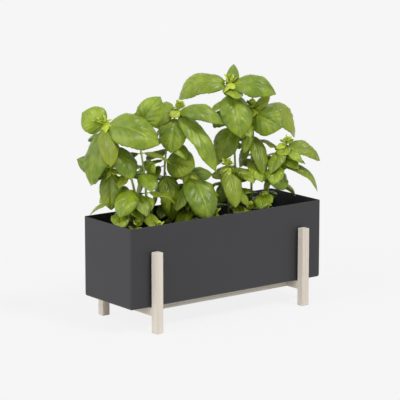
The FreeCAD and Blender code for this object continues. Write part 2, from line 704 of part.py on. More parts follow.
def make_plants():
    """Stems, outer, young and inner leaves of the three plants, by node name."""
    nodes, placed, stems = {}, [], []
    for plant, place, shoots in PLANTS:
        x = pot_axis_x(place)
        placed.append(pot_skin(plant, x))
        for number, shoot in enumerate(shoots):
            stem = Stem(x, shoot)
            skin = stem_skin(plant, f"{plant} stem {number}", stem)
            placed.append(skin)
            stems.append((plant, x, number, shoot, stem, skin))
    for plant, _, _ in PLANTS:
        own = [row for row in stems if row[0] == plant]
        nodes[f"basil_{plant}_stems"] = Part.makeCompound([ring_solid(row[4].rings(), row[4].tip()) for row in own])
    leaves = {plant: [] for plant, _, _ in PLANTS}
    young = {plant: [] for plant, _, _ in PLANTS}
    for plant, x, number, shoot, stem, skin in stems:
        for n, leaf in enumerate(shoot.leaves):
            tip = in_plant(x, leaf.across, leaf.toward, leaf.up)
            width = leaf.breadth * plant_height
            name = f"{plant} shoot {number} leaf {n}"
            leaves[plant] += grow_leaf(plant, name, stem, skin, leaf.along, tip, width, leaf.arch,
                                       leaf.roll, placed)
    for plant, x, number, shoot, stem, skin in stems:
        vigour = stem.radius(1) / (stem_top_diameter / 2)
        for pair, (rise_deg, size) in enumerate(zip(young_pair_rises_deg, young_pair_size_shares)):
            for side in (0, 1):
                heading = math.pi * (side + pair / 2 + number / 4)
                rise = math.radians(rise_deg)
                aim = Vector(math.cos(heading) * math.cos(rise), math.sin(heading) * math.cos(rise), math.sin(rise))
                tip = stem.top + aim * (young_leaf_length * vigour * size)
                name = f"{plant} shoot {number} young leaf {pair} {side}"
                young[plant] += grow_leaf(plant, name, stem, skin, 1, tip, young_leaf_width * vigour * size,
                                          young_arch_share, 0, placed)
    inner = {plant: [] for plant, _, _ in PLANTS}
    for plant, x, number, shoot, stem, skin in stems:
        if shoot.top[2] < inner_shoot_share:
            continue
        for node, (share, length_share) in enumerate(zip(inner_node_shares, inner_length_shares)):
            for side in (0, 1):
                heading = math.pi * (side + node / 2 + number * inner_turn_share)
                level = Vector(math.cos(heading), math.sin(heading), 0)
                reach = length_share * plant_height
                tip = stem.at(share) + (level - UP * inner_fall_share) * reach
                name = f"{plant} shoot {number} inner leaf {node} {side}"
                inner[plant] += grow_leaf(plant, name, stem, skin, share, tip, reach * inner_breadth_share,
                                          inner_arch_share, 0, placed)
    for plant, _, _ in PLANTS:
        nodes[f"basil_{plant}_inner_leaves"] = Part.makeCompound(inner[plant])
        nodes[f"basil_{plant}_leaves"] = Part.makeCompound(leaves[plant])
        nodes[f"basil_{plant}_shoot_tips"] = Part.makeCompound(young[plant])
    return nodes


def make_nodes():
    """Every sub-part by node name."""
    nodes = make_stand()
    nodes["trough"] = make_trough()
    for plant, place, _ in PLANTS:
        nodes[f"pot_{plant}"] = make_pot(pot_axis_x(place))
        nodes[f"soil_{plant}"] = make_soil(pot_axis_x(place))
    nodes.update(make_plants())
    return nodes


def main():
    os.makedirs("parts", exist_ok=True)
    for name, shape in make_nodes().items():
        solids = shape.Solids
        valid = all(solid.isValid() and solid.isClosed() for solid in solids)
        print(f"{name}: {len(solids)} solids, volume {shape.Volume / 1000:.2f} cm3, valid {valid}")
        shape.exportStep(os.path.join("parts", name + ".step"))


main()
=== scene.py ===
"""The looks of the indoor herb planter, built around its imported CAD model.

Everything is in metres, in the model's own frame: +X along the trough, +Y to its back, +Z up, with the
origin on the floor under the middle of the trough.
"""
import json
import math
import random

import bmesh
import bpy
import numpy as np
from bpy.props import FloatProperty, FloatVectorProperty, IntProperty, PointerProperty
from mathutils import Euler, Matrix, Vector, noise

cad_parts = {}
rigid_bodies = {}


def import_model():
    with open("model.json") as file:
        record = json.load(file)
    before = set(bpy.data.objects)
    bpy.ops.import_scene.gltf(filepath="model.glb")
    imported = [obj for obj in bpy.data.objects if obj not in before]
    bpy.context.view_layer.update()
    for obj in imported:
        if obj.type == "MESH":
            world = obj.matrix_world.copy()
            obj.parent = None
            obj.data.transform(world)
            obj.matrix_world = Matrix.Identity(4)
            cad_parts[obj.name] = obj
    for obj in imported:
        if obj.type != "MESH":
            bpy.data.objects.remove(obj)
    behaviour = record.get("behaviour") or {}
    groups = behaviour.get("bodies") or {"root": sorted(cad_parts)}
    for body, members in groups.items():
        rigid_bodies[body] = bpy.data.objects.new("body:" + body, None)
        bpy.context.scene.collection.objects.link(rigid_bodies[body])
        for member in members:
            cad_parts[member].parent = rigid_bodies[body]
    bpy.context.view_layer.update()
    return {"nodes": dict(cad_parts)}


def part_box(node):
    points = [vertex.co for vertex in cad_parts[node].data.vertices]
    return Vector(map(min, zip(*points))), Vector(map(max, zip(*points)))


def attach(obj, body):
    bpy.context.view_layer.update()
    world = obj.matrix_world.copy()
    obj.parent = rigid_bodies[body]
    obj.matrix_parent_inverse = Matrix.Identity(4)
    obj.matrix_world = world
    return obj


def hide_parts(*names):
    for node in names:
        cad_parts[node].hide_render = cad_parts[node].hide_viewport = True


bl_info = {
    "name": "Herb planter",
    "version": (1, 0, 0),
    "blender": (4, 5, 0),
    "location": "View3D > Sidebar > Planter",
    "description": "Builds the herb planter's finishes, soil and basil around its CAD frame",
    "category": "Object",
}

for spare in list(bpy.data.objects):
    bpy.data.objects.remove(spare)
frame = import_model()
PLANTS = ("left", "middle", "right")
SEEDS = {"bars": 11, "crumbs": 5, "leaves": 40, "inner_leaves": 50, "shoot_tips": 70, "buds": 90}

# Points that lie nearer to each other than this, in metres, are one point
SAME_PLACE = 1e-6

# Scale of the pattern along a bar and along a dowel, where it is 1 across them, which draws the pattern out
GRAIN_STRETCH, FLECK_STRETCH = 0.045, 0.08
# How far the board lies from the tree's pith in two directions, and how far its rings wander, in metres
PITH = (0.045, 0.02)
RING_WANDER = 0.006

# The soil's lumps, from coarse to fine: their share of the relief, their layer of the noise and its scale
SOIL_LUMPS = ((1.0, 0, 130), (0.6, 3, 320), (0.35, 7, 900))
# How far the soil's middle height lies below the CAD's and how far its lumps rise, as shares of the relief
SOIL_SINK, SOIL_SWELL = 0.6, 0.8
# The power by which the soil sinks towards the wall
DIP_POWER = 6
# The smallest and the largest crumb along three axes, as shares of the largest radius
CRUMB_LEAST, CRUMB_MOST = (0.25, 0.25, 0.2), (1.0, 0.8, 0.6)
# The most that a crumb is turned about each axis, in radians
CRUMB_TURN = (6.28, 6.28, 6.28)
# How uneven a crumb is, as a share of its radius, and the scale of the noise that makes it so
CRUMB_WOBBLE, WOBBLE_SCALE = 1.6, 700.0
# How far out crumbs lie, as a share of the soil's radius, and the sides of the disc that they fall on
CRUMB_REACH, DISC_SIDES = 0.97, 48

# A stem's radius at its tip, as a share of its last ring's
STEM_POINT = 0.35
# A direction that no stem and no stalk runs along
ASKEW = (0.31, 0.17, 0.93)

# How the CAD's leaves are laid out: the petiole's end as a share of the leaf's length, the widest place as
# a share of the blade's, and how far the edges and the groove lie below the arch, in half widths
PETIOLE_SHARE = 0.07
WIDEST_STATION = 0.50
EDGE_DROP = 0.30
GROOVE_DROP = 0.12
# Where a blade's skin starts, a little before the petiole's end, and its first and last rows on the blade
BLADE_START = PETIOLE_SHARE * 0.8
FIRST_ROW, LAST_ROW = 0.004, 0.997
# Powers that shape a blade's outline
OUTLINE_SKEW, OUTLINE_ROUND, TIP_POINT, TIP_POWER = 0.821, 0.50, 0.30, 5
# A blade's width beside the CAD's, and how much narrower it gets over which last share of its length
BLADE_FULLNESS, TIP_NARROWING, TIP_STRETCH = 1.06, 0.22, 0.1
# Where along a blade its teeth start, and over how much of it they grow
TEETH_START, TEETH_GROWTH = 0.1, 0.15
# The teeth's mean depth, how far it varies, and its turns in radians over a leaf's length
TOOTH_MEAN, TOOTH_SPREAD, TOOTH_TURNS = 0.7, 0.5, 31
# How far the side veins lean and curve towards the tip, and how many more of them some leaves have
VEIN_LEAN, VEIN_CURVE, VEIN_SPREAD = 0.50, 0.14, 1.6
# How far from the midrib, from the margin and from the tip the bulges are at their full height
BULGE_REACH = (0.22, 0.25, 0.20)
# The bulges' mean strength, how far it varies, and its turns along and across in radians
BULGE_MEAN, BULGE_SPREAD, BULGE_TURNS = 0.75, 0.35, (11, 5)
# Height of the bulges on the flattest leaf and what the most puffed one has above it, as shares of the puff
PUFF_LEAST, PUFF_MORE = 0.6, 0.8
# How much of a bulge lies below the leaf's smooth form
BULGE_BELOW = 0.35
# Turns of the margin's long and short waves and of the buckles, in radians over a leaf's length
LONG_WAVES, SHORT_WAVES, BUCKLES = 9, 17, 7
# Turns of the long waves and of the buckles, in radians over the half width
WAVE_SLANT, BUCKLE_SLANT = 1.3, 2.6
# Height of the short waves beside the long ones
SHORT_HEIGHT = 0.6
# Powers by which the droop, the waves, and the teeth and the thinning set in across the half width
DROOP_POWER, WAVE_POWER, MARGIN_POWER = 3.1, 2.5, 4
# How wide and how steep the midrib's groove is across the half width, and how much thinner the margin is
GROOVE_WIDTH, GROOVE_POWER, RIM_THINNING = 0.16, 1.4, 0.55
# Steps along a stalk and points round it, on grown and on young leaves
GROWN_STALK, YOUNG_STALK = (16, 8), (8, 6)
# Where a stalk starts and where its midrib ends, as shares of the leaf's length
STALK_START, MIDRIB_END = -0.02, 0.90
# How far a stalk's foot reaches into its stem and how far the midrib lies below its groove, in metres
STALK_FOOT, MIDRIB_GAP = 0.0016, 0.00025
# A stalk's radius at its foot, how much of it the midrib loses up to its end, and by which power
STALK_FLARE, MIDRIB_LOSS, MIDRIB_POWER = 1.15, 0.78, 0.45

# Points across and along a bud leaf, half the width of its foot in metres, and degrees to the next one
BUD_GRID = (9, 11)
BUD_FOOT = 0.0004
GOLDEN_TURN = 137.5
# How many degrees a bud leaf may stray aside and up or down, and the least and the most that it has grown
BUD_TWIST, BUD_TILT = 12, 8
BUD_GROWTH = (0.75, 1.0)


def length(name, default, description):
    """A size in metres that a user can set."""
    return FloatProperty(name=name, description=description, default=default, unit="LENGTH", precision=5)


def share(name, default, description):
    """A share or a strength that a user can set."""
    return FloatProperty(name=name, description=description, default=default)


def count(name, default, description):
    """A number of pieces or steps that a user can set."""
    return IntProperty(name=name, description=description, default=default, min=1)


def colour(name, default, description):
    """A linear colour that a user can set."""
    return FloatVectorProperty(name=name, description=description, default=default, subtype="COLOR",
                               size=3, min=0, max=1)


def turn(name, degrees, description):
    """A turn about the three axes that a user can set. Its default is given in degrees."""
    return FloatVectorProperty(name=name, description=description, subtype="EULER", unit="ROTATION",
                               default=[math.radians(angle) for angle in degrees])


def point(name, default, description):
    """A point in metres that a user can set."""
    return FloatVectorProperty(name=name, description=description, default=default, unit="LENGTH",
                               subtype="TRANSLATION")


class StageSettings(bpy.types.PropertyGroup):
    floor_size: length("Floor size", 60.0, "Width of the pale floor")
    floor_gap: length("Floor gap", 0.00005, "How far the floor lies below the feet")
    floor_colour: colour("Floor colour", (0.90, 0.90, 0.90), "Colour of the pale floor")
    backdrop: share("Backdrop", 0.918, "Brightness of the backdrop that the camera sees")
    evenness: share("Evenness", 0.92, "How much the floor keeps to the backdrop's brightness in shadow")
    sky: share("Sky", 0.40, "Brightness of the even light from all sides")
    key: share("Key", 1.48, "Strength of the soft light from the front right")
    fill: share("Fill", 1.60, "Strength of the soft light from the left")
    key_turn: turn("Key turn", (37, 0, 20), "Where the soft light from the front right stands")
    fill_turn: turn("Fill turn", (58, 0, -84), "Where the soft light from the left stands")
    key_angle: share("Key angle", 14, "Degrees that the light from the front right spreads over")
    fill_angle: share("Fill angle", 50, "Degrees that the light from the left spreads over")
    camera_yaw: share("Camera yaw", -37.337, "Degrees that the camera stands to the right of the front")
    camera_pitch: share("Camera pitch", 11.387, "Degrees that the camera stands above the floor")
    camera_distance: length("Camera distance", 3.902, "From the camera to the point it looks at")
    camera_lens: share("Camera lens", 194.14, "Focal length in millimetres")
    camera_film: share("Camera film", 36, "Width of the picture on the film in millimetres")
    camera_reach: length("Camera reach", 100, "How far the camera sees")
    camera_aim: point("Camera aim", (-0.00633, 0.00483, 0.2045), "The point that the camera looks at")


class TroughSettings(bpy.types.PropertyGroup):
    sheet: length("Sheet", 0.0015, "Thickness of the steel")
    bend: length("Bend", 0.0045, "Outer radius of the folds")
    rim_ease: length("Rim ease", 0.0005, "Rounding of the rim's edges by the powder coat")
    bend_steps: count("Bend steps", 8, "Steps round each fold")
    rim_steps: count("Rim steps", 4, "Steps round each edge of the rim")
    least_bend: length("Least bend", 0.0002, "Radius of the corners inside the folds")
    coat: colour("Coat", (0.026, 0.026, 0.029), "Colour of the powder coat")
    peel: length("Peel", 0.00006, "Depth of the powder coat's orange peel")
    roughness: share("Roughness", 0.47, "How dull the coat is at its shiniest")


class StandSettings(bpy.types.PropertyGroup):
    ash: colour("Ash", (0.745, 0.685, 0.600), "Colour of the pale early wood")
    grain: colour("Grain", (0.50, 0.42, 0.335), "Colour of the darker late wood and pores")
    dowel: colour("Dowel", (0.60, 0.46, 0.32), "Colour of the beech dowels")
    ring_width: length("Ring width", 0.0021, "Distance between growth rings")
    pore_depth: length("Pore depth", 0.0001, "Depth of the pores and flecks in the wood")
    roughness: share("Roughness", 0.62, "How dull the ash is at its shiniest")
    dowel_roughness: share("Dowel roughness", 0.6, "How dull a dowel is at its shiniest")


class PotSettings(bpy.types.PropertyGroup):
    plastic: colour("Plastic", (0.020, 0.020, 0.021), "Colour of the nursery pots")
    bloom: colour("Bloom", (0.055, 0.050, 0.045), "Colour of the dusty bloom on them")
    unevenness: length("Unevenness", 0.00008, "Depth of the plastic's fine unevenness")
    roughness: share("Roughness", 0.36, "How dull the plastic is at its shiniest")
    ribs: count("Ribs", 28, "Ribs moulded round each pot")
    rib_sides: count("Rib sides", 8, "Sides of a rib's section")
    bead_sides: count("Bead sides", 10, "Sides of the bead's section")
    hoop_steps: count("Hoop steps", 96, "Steps of the bead round the lip")
    lip_height: length("Lip height", 0.006, "Height of the lip")
    lip_reach: length("Lip reach", 0.0018, "How far the lip stands out from the wall")
    taper: length("Taper", 0.012, "How much narrower the foot's radius is than the wall's top")
    wall: length("Wall", 0.0009, "Thickness of the plastic")
    foot: length("Foot", 0.0015, "Where the ribs start above the pot's foot")
    rib_radius: length("Rib radius", 0.0007, "Radius of a moulded rib")
    bead_radius: length("Bead radius", 0.0010, "Radius of the rolled bead on the lip")


class SoilSettings(bpy.types.PropertyGroup):
    peat: colour("Peat", (0.030, 0.018, 0.011), "Colour of the moist peat")
    fibre: colour("Fibre", (0.11, 0.075, 0.045), "Colour of the paler fibres")
    grit: length("Grit", 0.0006, "Depth of the fine grit")
    roughness: share("Roughness", 0.82, "How dull the soil is at its dullest")
    taper: length("Taper", 0.0105, "How much narrower the ball's foot is than its top")
    ease: length("Ease", 0.001, "Rounding of the ball's lower edge")
    relief: length("Relief", 0.0022, "Height of the lumps in the soil's surface")
    dip: length("Dip", 0.0015, "How much lower the soil lies beside the pot's wall")
    rings: count("Rings", 44, "Rings of points from the soil's middle to its edge")
    around: count("Around", 120, "Points round each ring")
    crumbs: count("Crumbs", 620, "Crumbs on each pot's soil")
    crumb_radius: length("Crumb radius", 0.0016, "Radius of the largest crumbs")


class StemSettings(bpy.types.PropertyGroup):
    green: colour("Green", (0.36, 0.48, 0.10), "Colour of the young stem")
    base: colour("Base", (0.28, 0.32, 0.10), "Colour of the older stem near the soil")
    streak: colour("Streak", (0.42, 0.50, 0.18), "Colour of the paler streaks")
    streak_depth: length("Streak depth", 0.00015, "Depth of the streaks")
    glow_depth: length("Glow depth", 0.0015, "How far light gets into a stem")
    roughness: share("Roughness", 0.42, "How dull a stem is at its shiniest")
    steps: count("Steps", 6, "Steps between two rings of the CAD stem")
    around: count("Around", 16, "Points round a stem")
    square: share("Square", 0.10, "How square the stem's section is")
    node_swell: share("Node swell", 0.30, "How much the stem swells where leaves join it")
    node_reach: length("Node reach", 0.004, "Half the length of that swelling")
    node_near: length("Node near", 0.006, "How near to a stem a leaf's foot counts as joined to it")


class LeafSettings(bpy.types.PropertyGroup):
    bright: colour("Bright", (0.305, 0.405, 0.022), "Colour of the lighter leaves")
    deep: colour("Deep", (0.100, 0.165, 0.006), "Colour of the darker leaves")
    under: colour("Under", (0.25, 0.34, 0.09), "Colour of the underside")
    vein: colour("Vein", (0.38, 0.47, 0.05), "Colour of the veins")
    columns: count("Columns", 25, "Points across a grown leaf")
    rows: count("Rows", 47, "Points along a grown leaf")
    thickness: length("Thickness", 0.0004, "Thickness of a leaf")
    puff: share("Puff", 0.028, "Height of the bulges between veins, as a share of the leaf's width")
    olive: colour("Olive", (0.255, 0.285, 0.014), "Colour of the yellower leaves")
    cell_depth: length("Cell depth", 0.00022, "Depth of the veins' and cells' fine relief")
    glow_depth: length("Glow depth", 0.002, "How far light gets into a leaf")
    roughness: share("Roughness", 0.27, "How dull a leaf is at its shiniest")
    sheen: share("Sheen", 0.40, "Strength of a leaf's mirrored light")
    buckle: share("Buckle", 0.10, "How much each half of a leaf buckles, as a share of the half width")
    veins: count("Veins", 5, "Side veins on each side of the midrib")
    wave: share("Wave", 0.075, "Waviness of the margin, as a share of the half width")
    tooth_depth: share("Tooth depth", 0.06, "Depth of the margin's teeth, as a share of the half width")
    teeth: count("Teeth", 11, "Teeth on each side of the margin")


class YoungSettings(bpy.types.PropertyGroup):
    fresh: colour("Fresh", (0.56, 0.65, 0.075), "Colour of the youngest leaves")
    grown: colour("Grown", (0.42, 0.53, 0.04), "Colour of the leaves beside them")
    under: colour("Under", (0.45, 0.55, 0.07), "Colour of the young leaves' underside")
    columns: count("Columns", 13, "Points across a young leaf")
    rows: count("Rows", 19, "Points along a young leaf")
    bud_leaves: count("Bud leaves", 10, "Tiny leaves round each shoot's tip")
    bud_length: length("Bud length", 0.029, "Length of the largest bud leaf")
    bud_size: share("Bud size", 1.0, "Size of all the bud leaves")
    bud_breadth: share("Bud breadth", 0.80, "Breadth of a bud leaf, as a share of its length")
    bud_spread: length("Bud spread", 0.005, "How far down the shoot its bud leaves start")
    bud_rise: share("Bud rise", 74, "Degrees that the innermost bud leaf stands up")
    bud_droop: share("Bud droop", 14, "Degrees that the outer half of the bud leaves hang down")
    bud_slant: share("Bud slant", 42, "Degrees that they lie lower from the innermost to the outermost")
    bud_least: share("Bud least", 0.40, "Size of the innermost bud leaf, as a share of the bud length")


class Value:
    """A shader socket in a sum. Each operation on it adds its Math node."""

    def __init__(self, paint, socket):
        self.paint = paint
        self.socket = socket

    def _math(self, operation, *values):
        return self.paint.node("ShaderNodeMath", {"operation": operation}, values)

    def __add__(self, other):
        return self._math("ADD", self, other)

    def __sub__(self, other):
        return self._math("SUBTRACT", self, other)

    def __rsub__(self, other):
        return self._math("SUBTRACT", other, self)

    def __mul__(self, other):
        return self._math("MULTIPLY", self, other)

    def __truediv__(self, other):
        return self._math("DIVIDE", self, other)

    def __pow__(self, other):
        return self._math("POWER", self, other)

    __radd__ = __add__
    __rmul__ = __mul__

    def size(self):
        return self._math("ABSOLUTE", self)

    def fraction(self):
        return self._math("FRACT", self)

    def or_more(self, other):
        """The larger of two values."""
        return self._math("MAXIMUM", self, other)

    def ramped(self, low, high):
        """0 at low, 1 at high, smooth between them and held beyond."""
        return self.paint.node("ShaderNodeMapRange", {"interpolation_type": "SMOOTHSTEP"},
                               {"Value": self, "From Min": low, "From Max": high}, "Result")


class Paint:
    """One procedural material or sky, built from nodes."""

    def __init__(self, name, kind="materials"):
        self.made = getattr(bpy.data, kind).new(name)
        self.made.use_nodes = True
        self.tree = self.made.node_tree
        self.tree.nodes.clear()

    def node(self, kind, settings=None, values=(), output=0):
        """Adds a node: its settings, then its sockets' values or links, by name or place."""
        made = self.tree.nodes.new(kind)
        for name, value in (settings or {}).items():
            setattr(made, name, value)
        pairs = values.items() if isinstance(values, dict) else enumerate(values)
        for key, value in pairs:
            if isinstance(value, Value):
                self.tree.links.new(value.socket, made.inputs[key])
            elif hasattr(value, "__len__") and made.inputs[key].type == "RGBA":
                made.inputs[key].default_value = (*value[:3], 1)
            else:
                made.inputs[key].default_value = value
        return Value(self, made.outputs[output]) if made.outputs else None

    def place(self):
        return self.node("ShaderNodeTexCoord", output="Object")

    def stretched(self, scale, shift=(0, 0, 0)):
        """The object's own coordinates, scaled and shifted."""
        return self.node("ShaderNodeMapping", {}, {
            "Vector": self.place(), "Scale": scale, "Location": shift})

    def noise(self, where, scale, detail=2.0, roughness=0.5):
        return self.node("ShaderNodeTexNoise", {}, {"Vector": where, "Scale": scale, "Detail": detail,
                                                    "Roughness": roughness})

    def attribute(self, name, output):
        return self.node("ShaderNodeAttribute", {"attribute_name": name}, {}, output)

    def parts(self, vector):
        """The X, Y and Z of a vector."""
        split = self.node("ShaderNodeSeparateXYZ", {}, [vector]).socket.node
        return [Value(self, socket) for socket in split.outputs]

    def mix(self, factor, first, second):
        return self.node("ShaderNodeMix", {"data_type": "RGBA", "clamp_factor": True},
                         {0: factor, 6: first, 7: second}, 2)

    def bump(self, height, distance, strength=1.0):
        return self.node("ShaderNodeBump", {}, {
            "Height": height, "Distance": distance, "Strength": strength}, "Normal")

    def surface(self, values):
        """Ends the material in a Principled surface."""
        return self.end(self.node("ShaderNodeBsdfPrincipled", {}, values))

    def end(self, shader, kind="ShaderNodeOutputMaterial"):
        """Ends the material or the sky in any shader."""
        self.node(kind, {}, {"Surface": shader})
        return self.made


def settings(name):
    """One group of the add-on's settings."""
    return getattr(bpy.context.scene, f"planter_{name}")


def scaled(tint, share):
    """A colour made darker or lighter."""
    return [channel * share for channel in tint]


def circle(centre, radius, height, steps):
    """Points round a level circle."""
    angles = (2 * math.pi * step / steps for step in range(steps))
    return [(centre.x + math.cos(a) * radius, centre.y + math.sin(a) * radius, height) for a in angles]


def tube_faces(rings, around):
    """The faces of a tube through rings of points, closed at both ends."""
    faces = []
    for row in range(rings - 1):
        for k in range(around):
            a, b = row * around + k, row * around + (k + 1) % around
            faces.append((a, b, b + around, a + around))
    last = (rings - 1) * around
    return faces + [tuple(reversed(range(around))), tuple(range(last, last + around))]


def add_mesh(name, points, faces, material, smooth=True):
    """A mesh object at the origin, with its place in its points."""
    mesh = bpy.data.meshes.new(name)
    mesh.from_pydata([tuple(point) for point in points], [], faces)
    mesh.polygons.foreach_set("use_smooth", [smooth] * len(mesh.polygons))
    mesh.materials.append(material)
    mesh.update()
    made = bpy.data.objects.new(name, mesh)
    bpy.context.scene.collection.objects.link(made)
    return made


def settled(made, name):
    """Turns an object and its modifiers into a plain mesh object."""
    bpy.context.view_layer.update()
    graph = bpy.context.evaluated_depsgraph_get()
    mesh = bpy.data.meshes.new_from_object(made.evaluated_get(graph))
    bpy.data.objects.remove(made)
    mesh.name = name
    plain = bpy.data.objects.new(name, mesh)
    bpy.context.scene.collection.objects.link(plain)
    return plain


def dress(made, body, slot, *nodes):
    """Gives a piece its body and hides the CAD nodes that it stands for. The slot is not used."""
    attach(made, body)
    if nodes:
        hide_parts(*nodes)
    return made


def coat_node(node, material):
    """Gives a CAD node that is shown a finish."""
    mesh = frame["nodes"][node].data
    mesh.materials.clear()
    mesh.materials.append(material)


class Tree:
    """A Geometry Nodes tree with named inputs."""

    def __init__(self, name, inputs):
        self.group = bpy.data.node_groups.new(name, "GeometryNodeTree")
        interface = self.group.interface
        interface.new_socket("Geometry", in_out="INPUT", socket_type="NodeSocketGeometry")
        interface.new_socket("Geometry", in_out="OUTPUT", socket_type="NodeSocketGeometry")
        self.identifiers = {}
        self.values = inputs
        for label, value in inputs.items():
            kind = {int: "NodeSocketInt", float: "NodeSocketFloat"}.get(type(value), "NodeSocketVector")
            socket = interface.new_socket(label, in_out="INPUT", socket_type=kind)
            self.identifiers[label] = socket.identifier
        self.start = self.group.nodes.new("NodeGroupInput")

    def node(self, kind, settings=None, values=None, output=0):
        """Adds a node: settings, then its sockets' values or links, and gives one of its outputs."""
        made = self.group.nodes.new(kind)
        for name, value in (settings or {}).items():
            setattr(made, name, value)
        for key, value in (values or {}).items():
            if isinstance(value, str) and value in self.identifiers:
                self.group.links.new(self.start.outputs[value], made.inputs[key])
            elif isinstance(value, bpy.types.NodeSocket):
                self.group.links.new(value, made.inputs[key])
            elif isinstance(value, list):
                for part in value:
                    self.group.links.new(part, made.inputs[key])
            else:
                made.inputs[key].default_value = value
        return made.outputs[output] if made.outputs else None

    def times(self, first, second):
        """The product of two inputs or numbers."""
        return self.node("ShaderNodeMath", {"operation": "MULTIPLY"}, {0: first, 1: second})

    def over(self, first, second):
        """One input or number divided by another."""
        return self.node("ShaderNodeMath", {"operation": "DIVIDE"}, {0: first, 1: second})

    def hoop(self, steps, radius):
        """A circle in the plane of X and Y."""
        return self.node("GeometryNodeCurvePrimitiveCircle", {}, {"Resolution": steps, "Radius": radius})

    def tube(self, line, sides, radius, capped=False):
        """A round tube along a line."""
        return self.node("GeometryNodeCurveToMesh", {}, {
            0: line, 1: self.hoop(sides, radius), "Fill Caps": capped})

    def moved(self, geometry, shift):
        """Geometry in another place."""
        return self.node("GeometryNodeTransform", {}, {"Geometry": geometry, "Translation": shift})

    def varied(self, low, high):
        """A vector between two others that differs from point to point."""
        return self.node("FunctionNodeRandomValue", {"data_type": "FLOAT_VECTOR"},
                         {0: low, 1: high, "Seed": "Seed"})

    def finish(self, geometry, material):
        """Ends the tree in real geometry with its material."""
        real = self.node("GeometryNodeRealizeInstances", {}, {"Geometry": geometry})
        painted = self.node("GeometryNodeSetMaterial", {}, {"Geometry": real, "Material": material})
        self.node("NodeGroupOutput", {}, {0: painted})

    def grow(self, base, name, smooth=False):
        """Runs the tree on an object and gives the result as a plain mesh object."""
        modifier = base.modifiers.new("grow", "NODES")
        modifier.node_group = self.group
        for label, value in self.values.items():
            modifier[self.identifiers[label]] = value
        made = settled(base, name)
        if smooth:
            made.data.polygons.foreach_set("use_smooth", [True] * len(made.data.polygons))
        return made


def powder_coat():
    """Fine dark powder coat with the faint orange peel of a baked finish."""
    sizes = settings("trough")
    paint = Paint("powder_coat")
    where = paint.place()
    cloud = paint.noise(where, 14, 2)
    peel = paint.noise(where, 950, 2, 0.6)
    speck = paint.noise(where, 3200, 1)
    shade = paint.mix(cloud * 0.5 + speck * 0.5, scaled(sizes.coat, 0.86), scaled(sizes.coat, 1.16))
    return paint.surface({"Base Color": shade, "Roughness": sizes.roughness + peel * 0.10,
                          "Normal": paint.bump(peel + speck * 0.4, sizes.peel, 0.6)})


def ash_wood(name, axis, shift):
    """Whitewashed ash whose grain runs along an axis, cut from another place in the board by its shift."""
    sizes = settings("stand")
    paint = Paint(name)
    along = [1.0, 1.0, 1.0]
    along[axis] = GRAIN_STRETCH
    where = paint.stretched(along, shift)
    wander = paint.noise(where, 26, 3)
    coordinates = paint.parts(where)
    across = [coordinates[n] for n in range(3) if n != axis]
    # the growth rings' pith is far to one side of the bar, so that they show as near-straight lines
    radius = ((across[0] + PITH[0]) ** 2 + (across[1] + PITH[1]) ** 2) ** 0.5
    ring = ((radius + wander * RING_WANDER) / sizes.ring_width).fraction()
    late = ring.ramped(0.45, 0.95) * (1 - ring.ramped(0.96, 1.0))
    pores = paint.noise(where, 2600, 2, 0.65).ramped(0.52, 0.66)
    fibre = paint.noise(where, 900, 3, 0.6)
    flecks = pores * (0.35 + late * 0.65)
    tone = late * 0.52 + flecks * 0.44 + (fibre - 0.5) * 0.65 + (wander - 0.5) * 0.6
    shade = paint.mix(tone + 0.06, sizes.ash, sizes.grain)
    return paint.surface({"Base Color": shade, "Roughness": sizes.roughness + fibre * 0.12,
                          "Normal": paint.bump(fibre - flecks * 0.8 - late * 0.3, sizes.pore_depth, 0.5)})


def pot_plastic():
    """Thin black thermoformed plastic with a faint dusty bloom."""
    sizes = settings("pots")
    paint = Paint("pot_plastic")
    where = paint.place()
    bloom = paint.noise(where, 60, 4, 0.6)
    fine = paint.noise(where, 700, 2)
    shade = paint.mix(bloom.ramped(0.5, 0.8) * 0.35, sizes.plastic, sizes.bloom)
    return paint.surface({"Base Color": shade, "Roughness": sizes.roughness + bloom * 0.22,
                          "Normal": paint.bump(fine + bloom, sizes.unevenness, 0.5)})


def moist_soil(name, lift):
    """Dark peat with paler fibres."""
    sizes = settings("soil")
    paint = Paint(name)
    where = paint.place()
    lumps = paint.noise(where, 240, 4, 0.65)
    grit = paint.noise(where, 1500, 3, 0.7)
    peat = scaled(sizes.peat, lift)
    shade = paint.mix(lumps.ramped(0.35, 0.7), scaled(peat, 0.55), scaled(peat, 1.5))
    shade = paint.mix(grit.ramped(0.62, 0.75) * 0.5, shade, scaled(sizes.fibre, lift))
    moist = grit.ramped(0.5, 0.8)
    return paint.surface({"Base Color": shade, "Roughness": sizes.roughness - moist * 0.25,
                          "Normal": paint.bump(lumps + grit * 0.5, sizes.grit, 0.9)})


def stem_skin():
    """Pale green stem, duller near the soil, with fine lengthwise streaks."""
    sizes = settings("stems")
    paint = Paint("stem_skin")
    up = paint.parts(paint.attribute("blade_place", "Vector"))[1]
    streaks = paint.noise(paint.stretched((1, 1, 0.06)), 1100, 2)
    patches = paint.noise(paint.place(), 90, 3)
    shade = paint.mix(up.ramped(0.0, 0.5), sizes.base, sizes.green)
    shade = paint.mix(streaks.ramped(0.5, 0.75) * 0.35 + patches * 0.15, shade, sizes.streak)
    return paint.surface({"Base Color": shade, "Roughness": sizes.roughness + streaks * 0.12,
                          "Subsurface Weight": 0.10, "Subsurface Radius": (0.5, 1.0, 0.2),
                          "Subsurface Scale": sizes.glow_depth,
                          "Normal": paint.bump(streaks, sizes.streak_depth, 0.5)})


def side_veins(side, along, own):
    """How many side veins lie below a point of a leaf. It takes a material's values and arrays alike."""
    lean = side * VEIN_LEAN - side * side * VEIN_CURVE
    return (along - lean) * (own * VEIN_SPREAD + settings("leaves").veins) + own


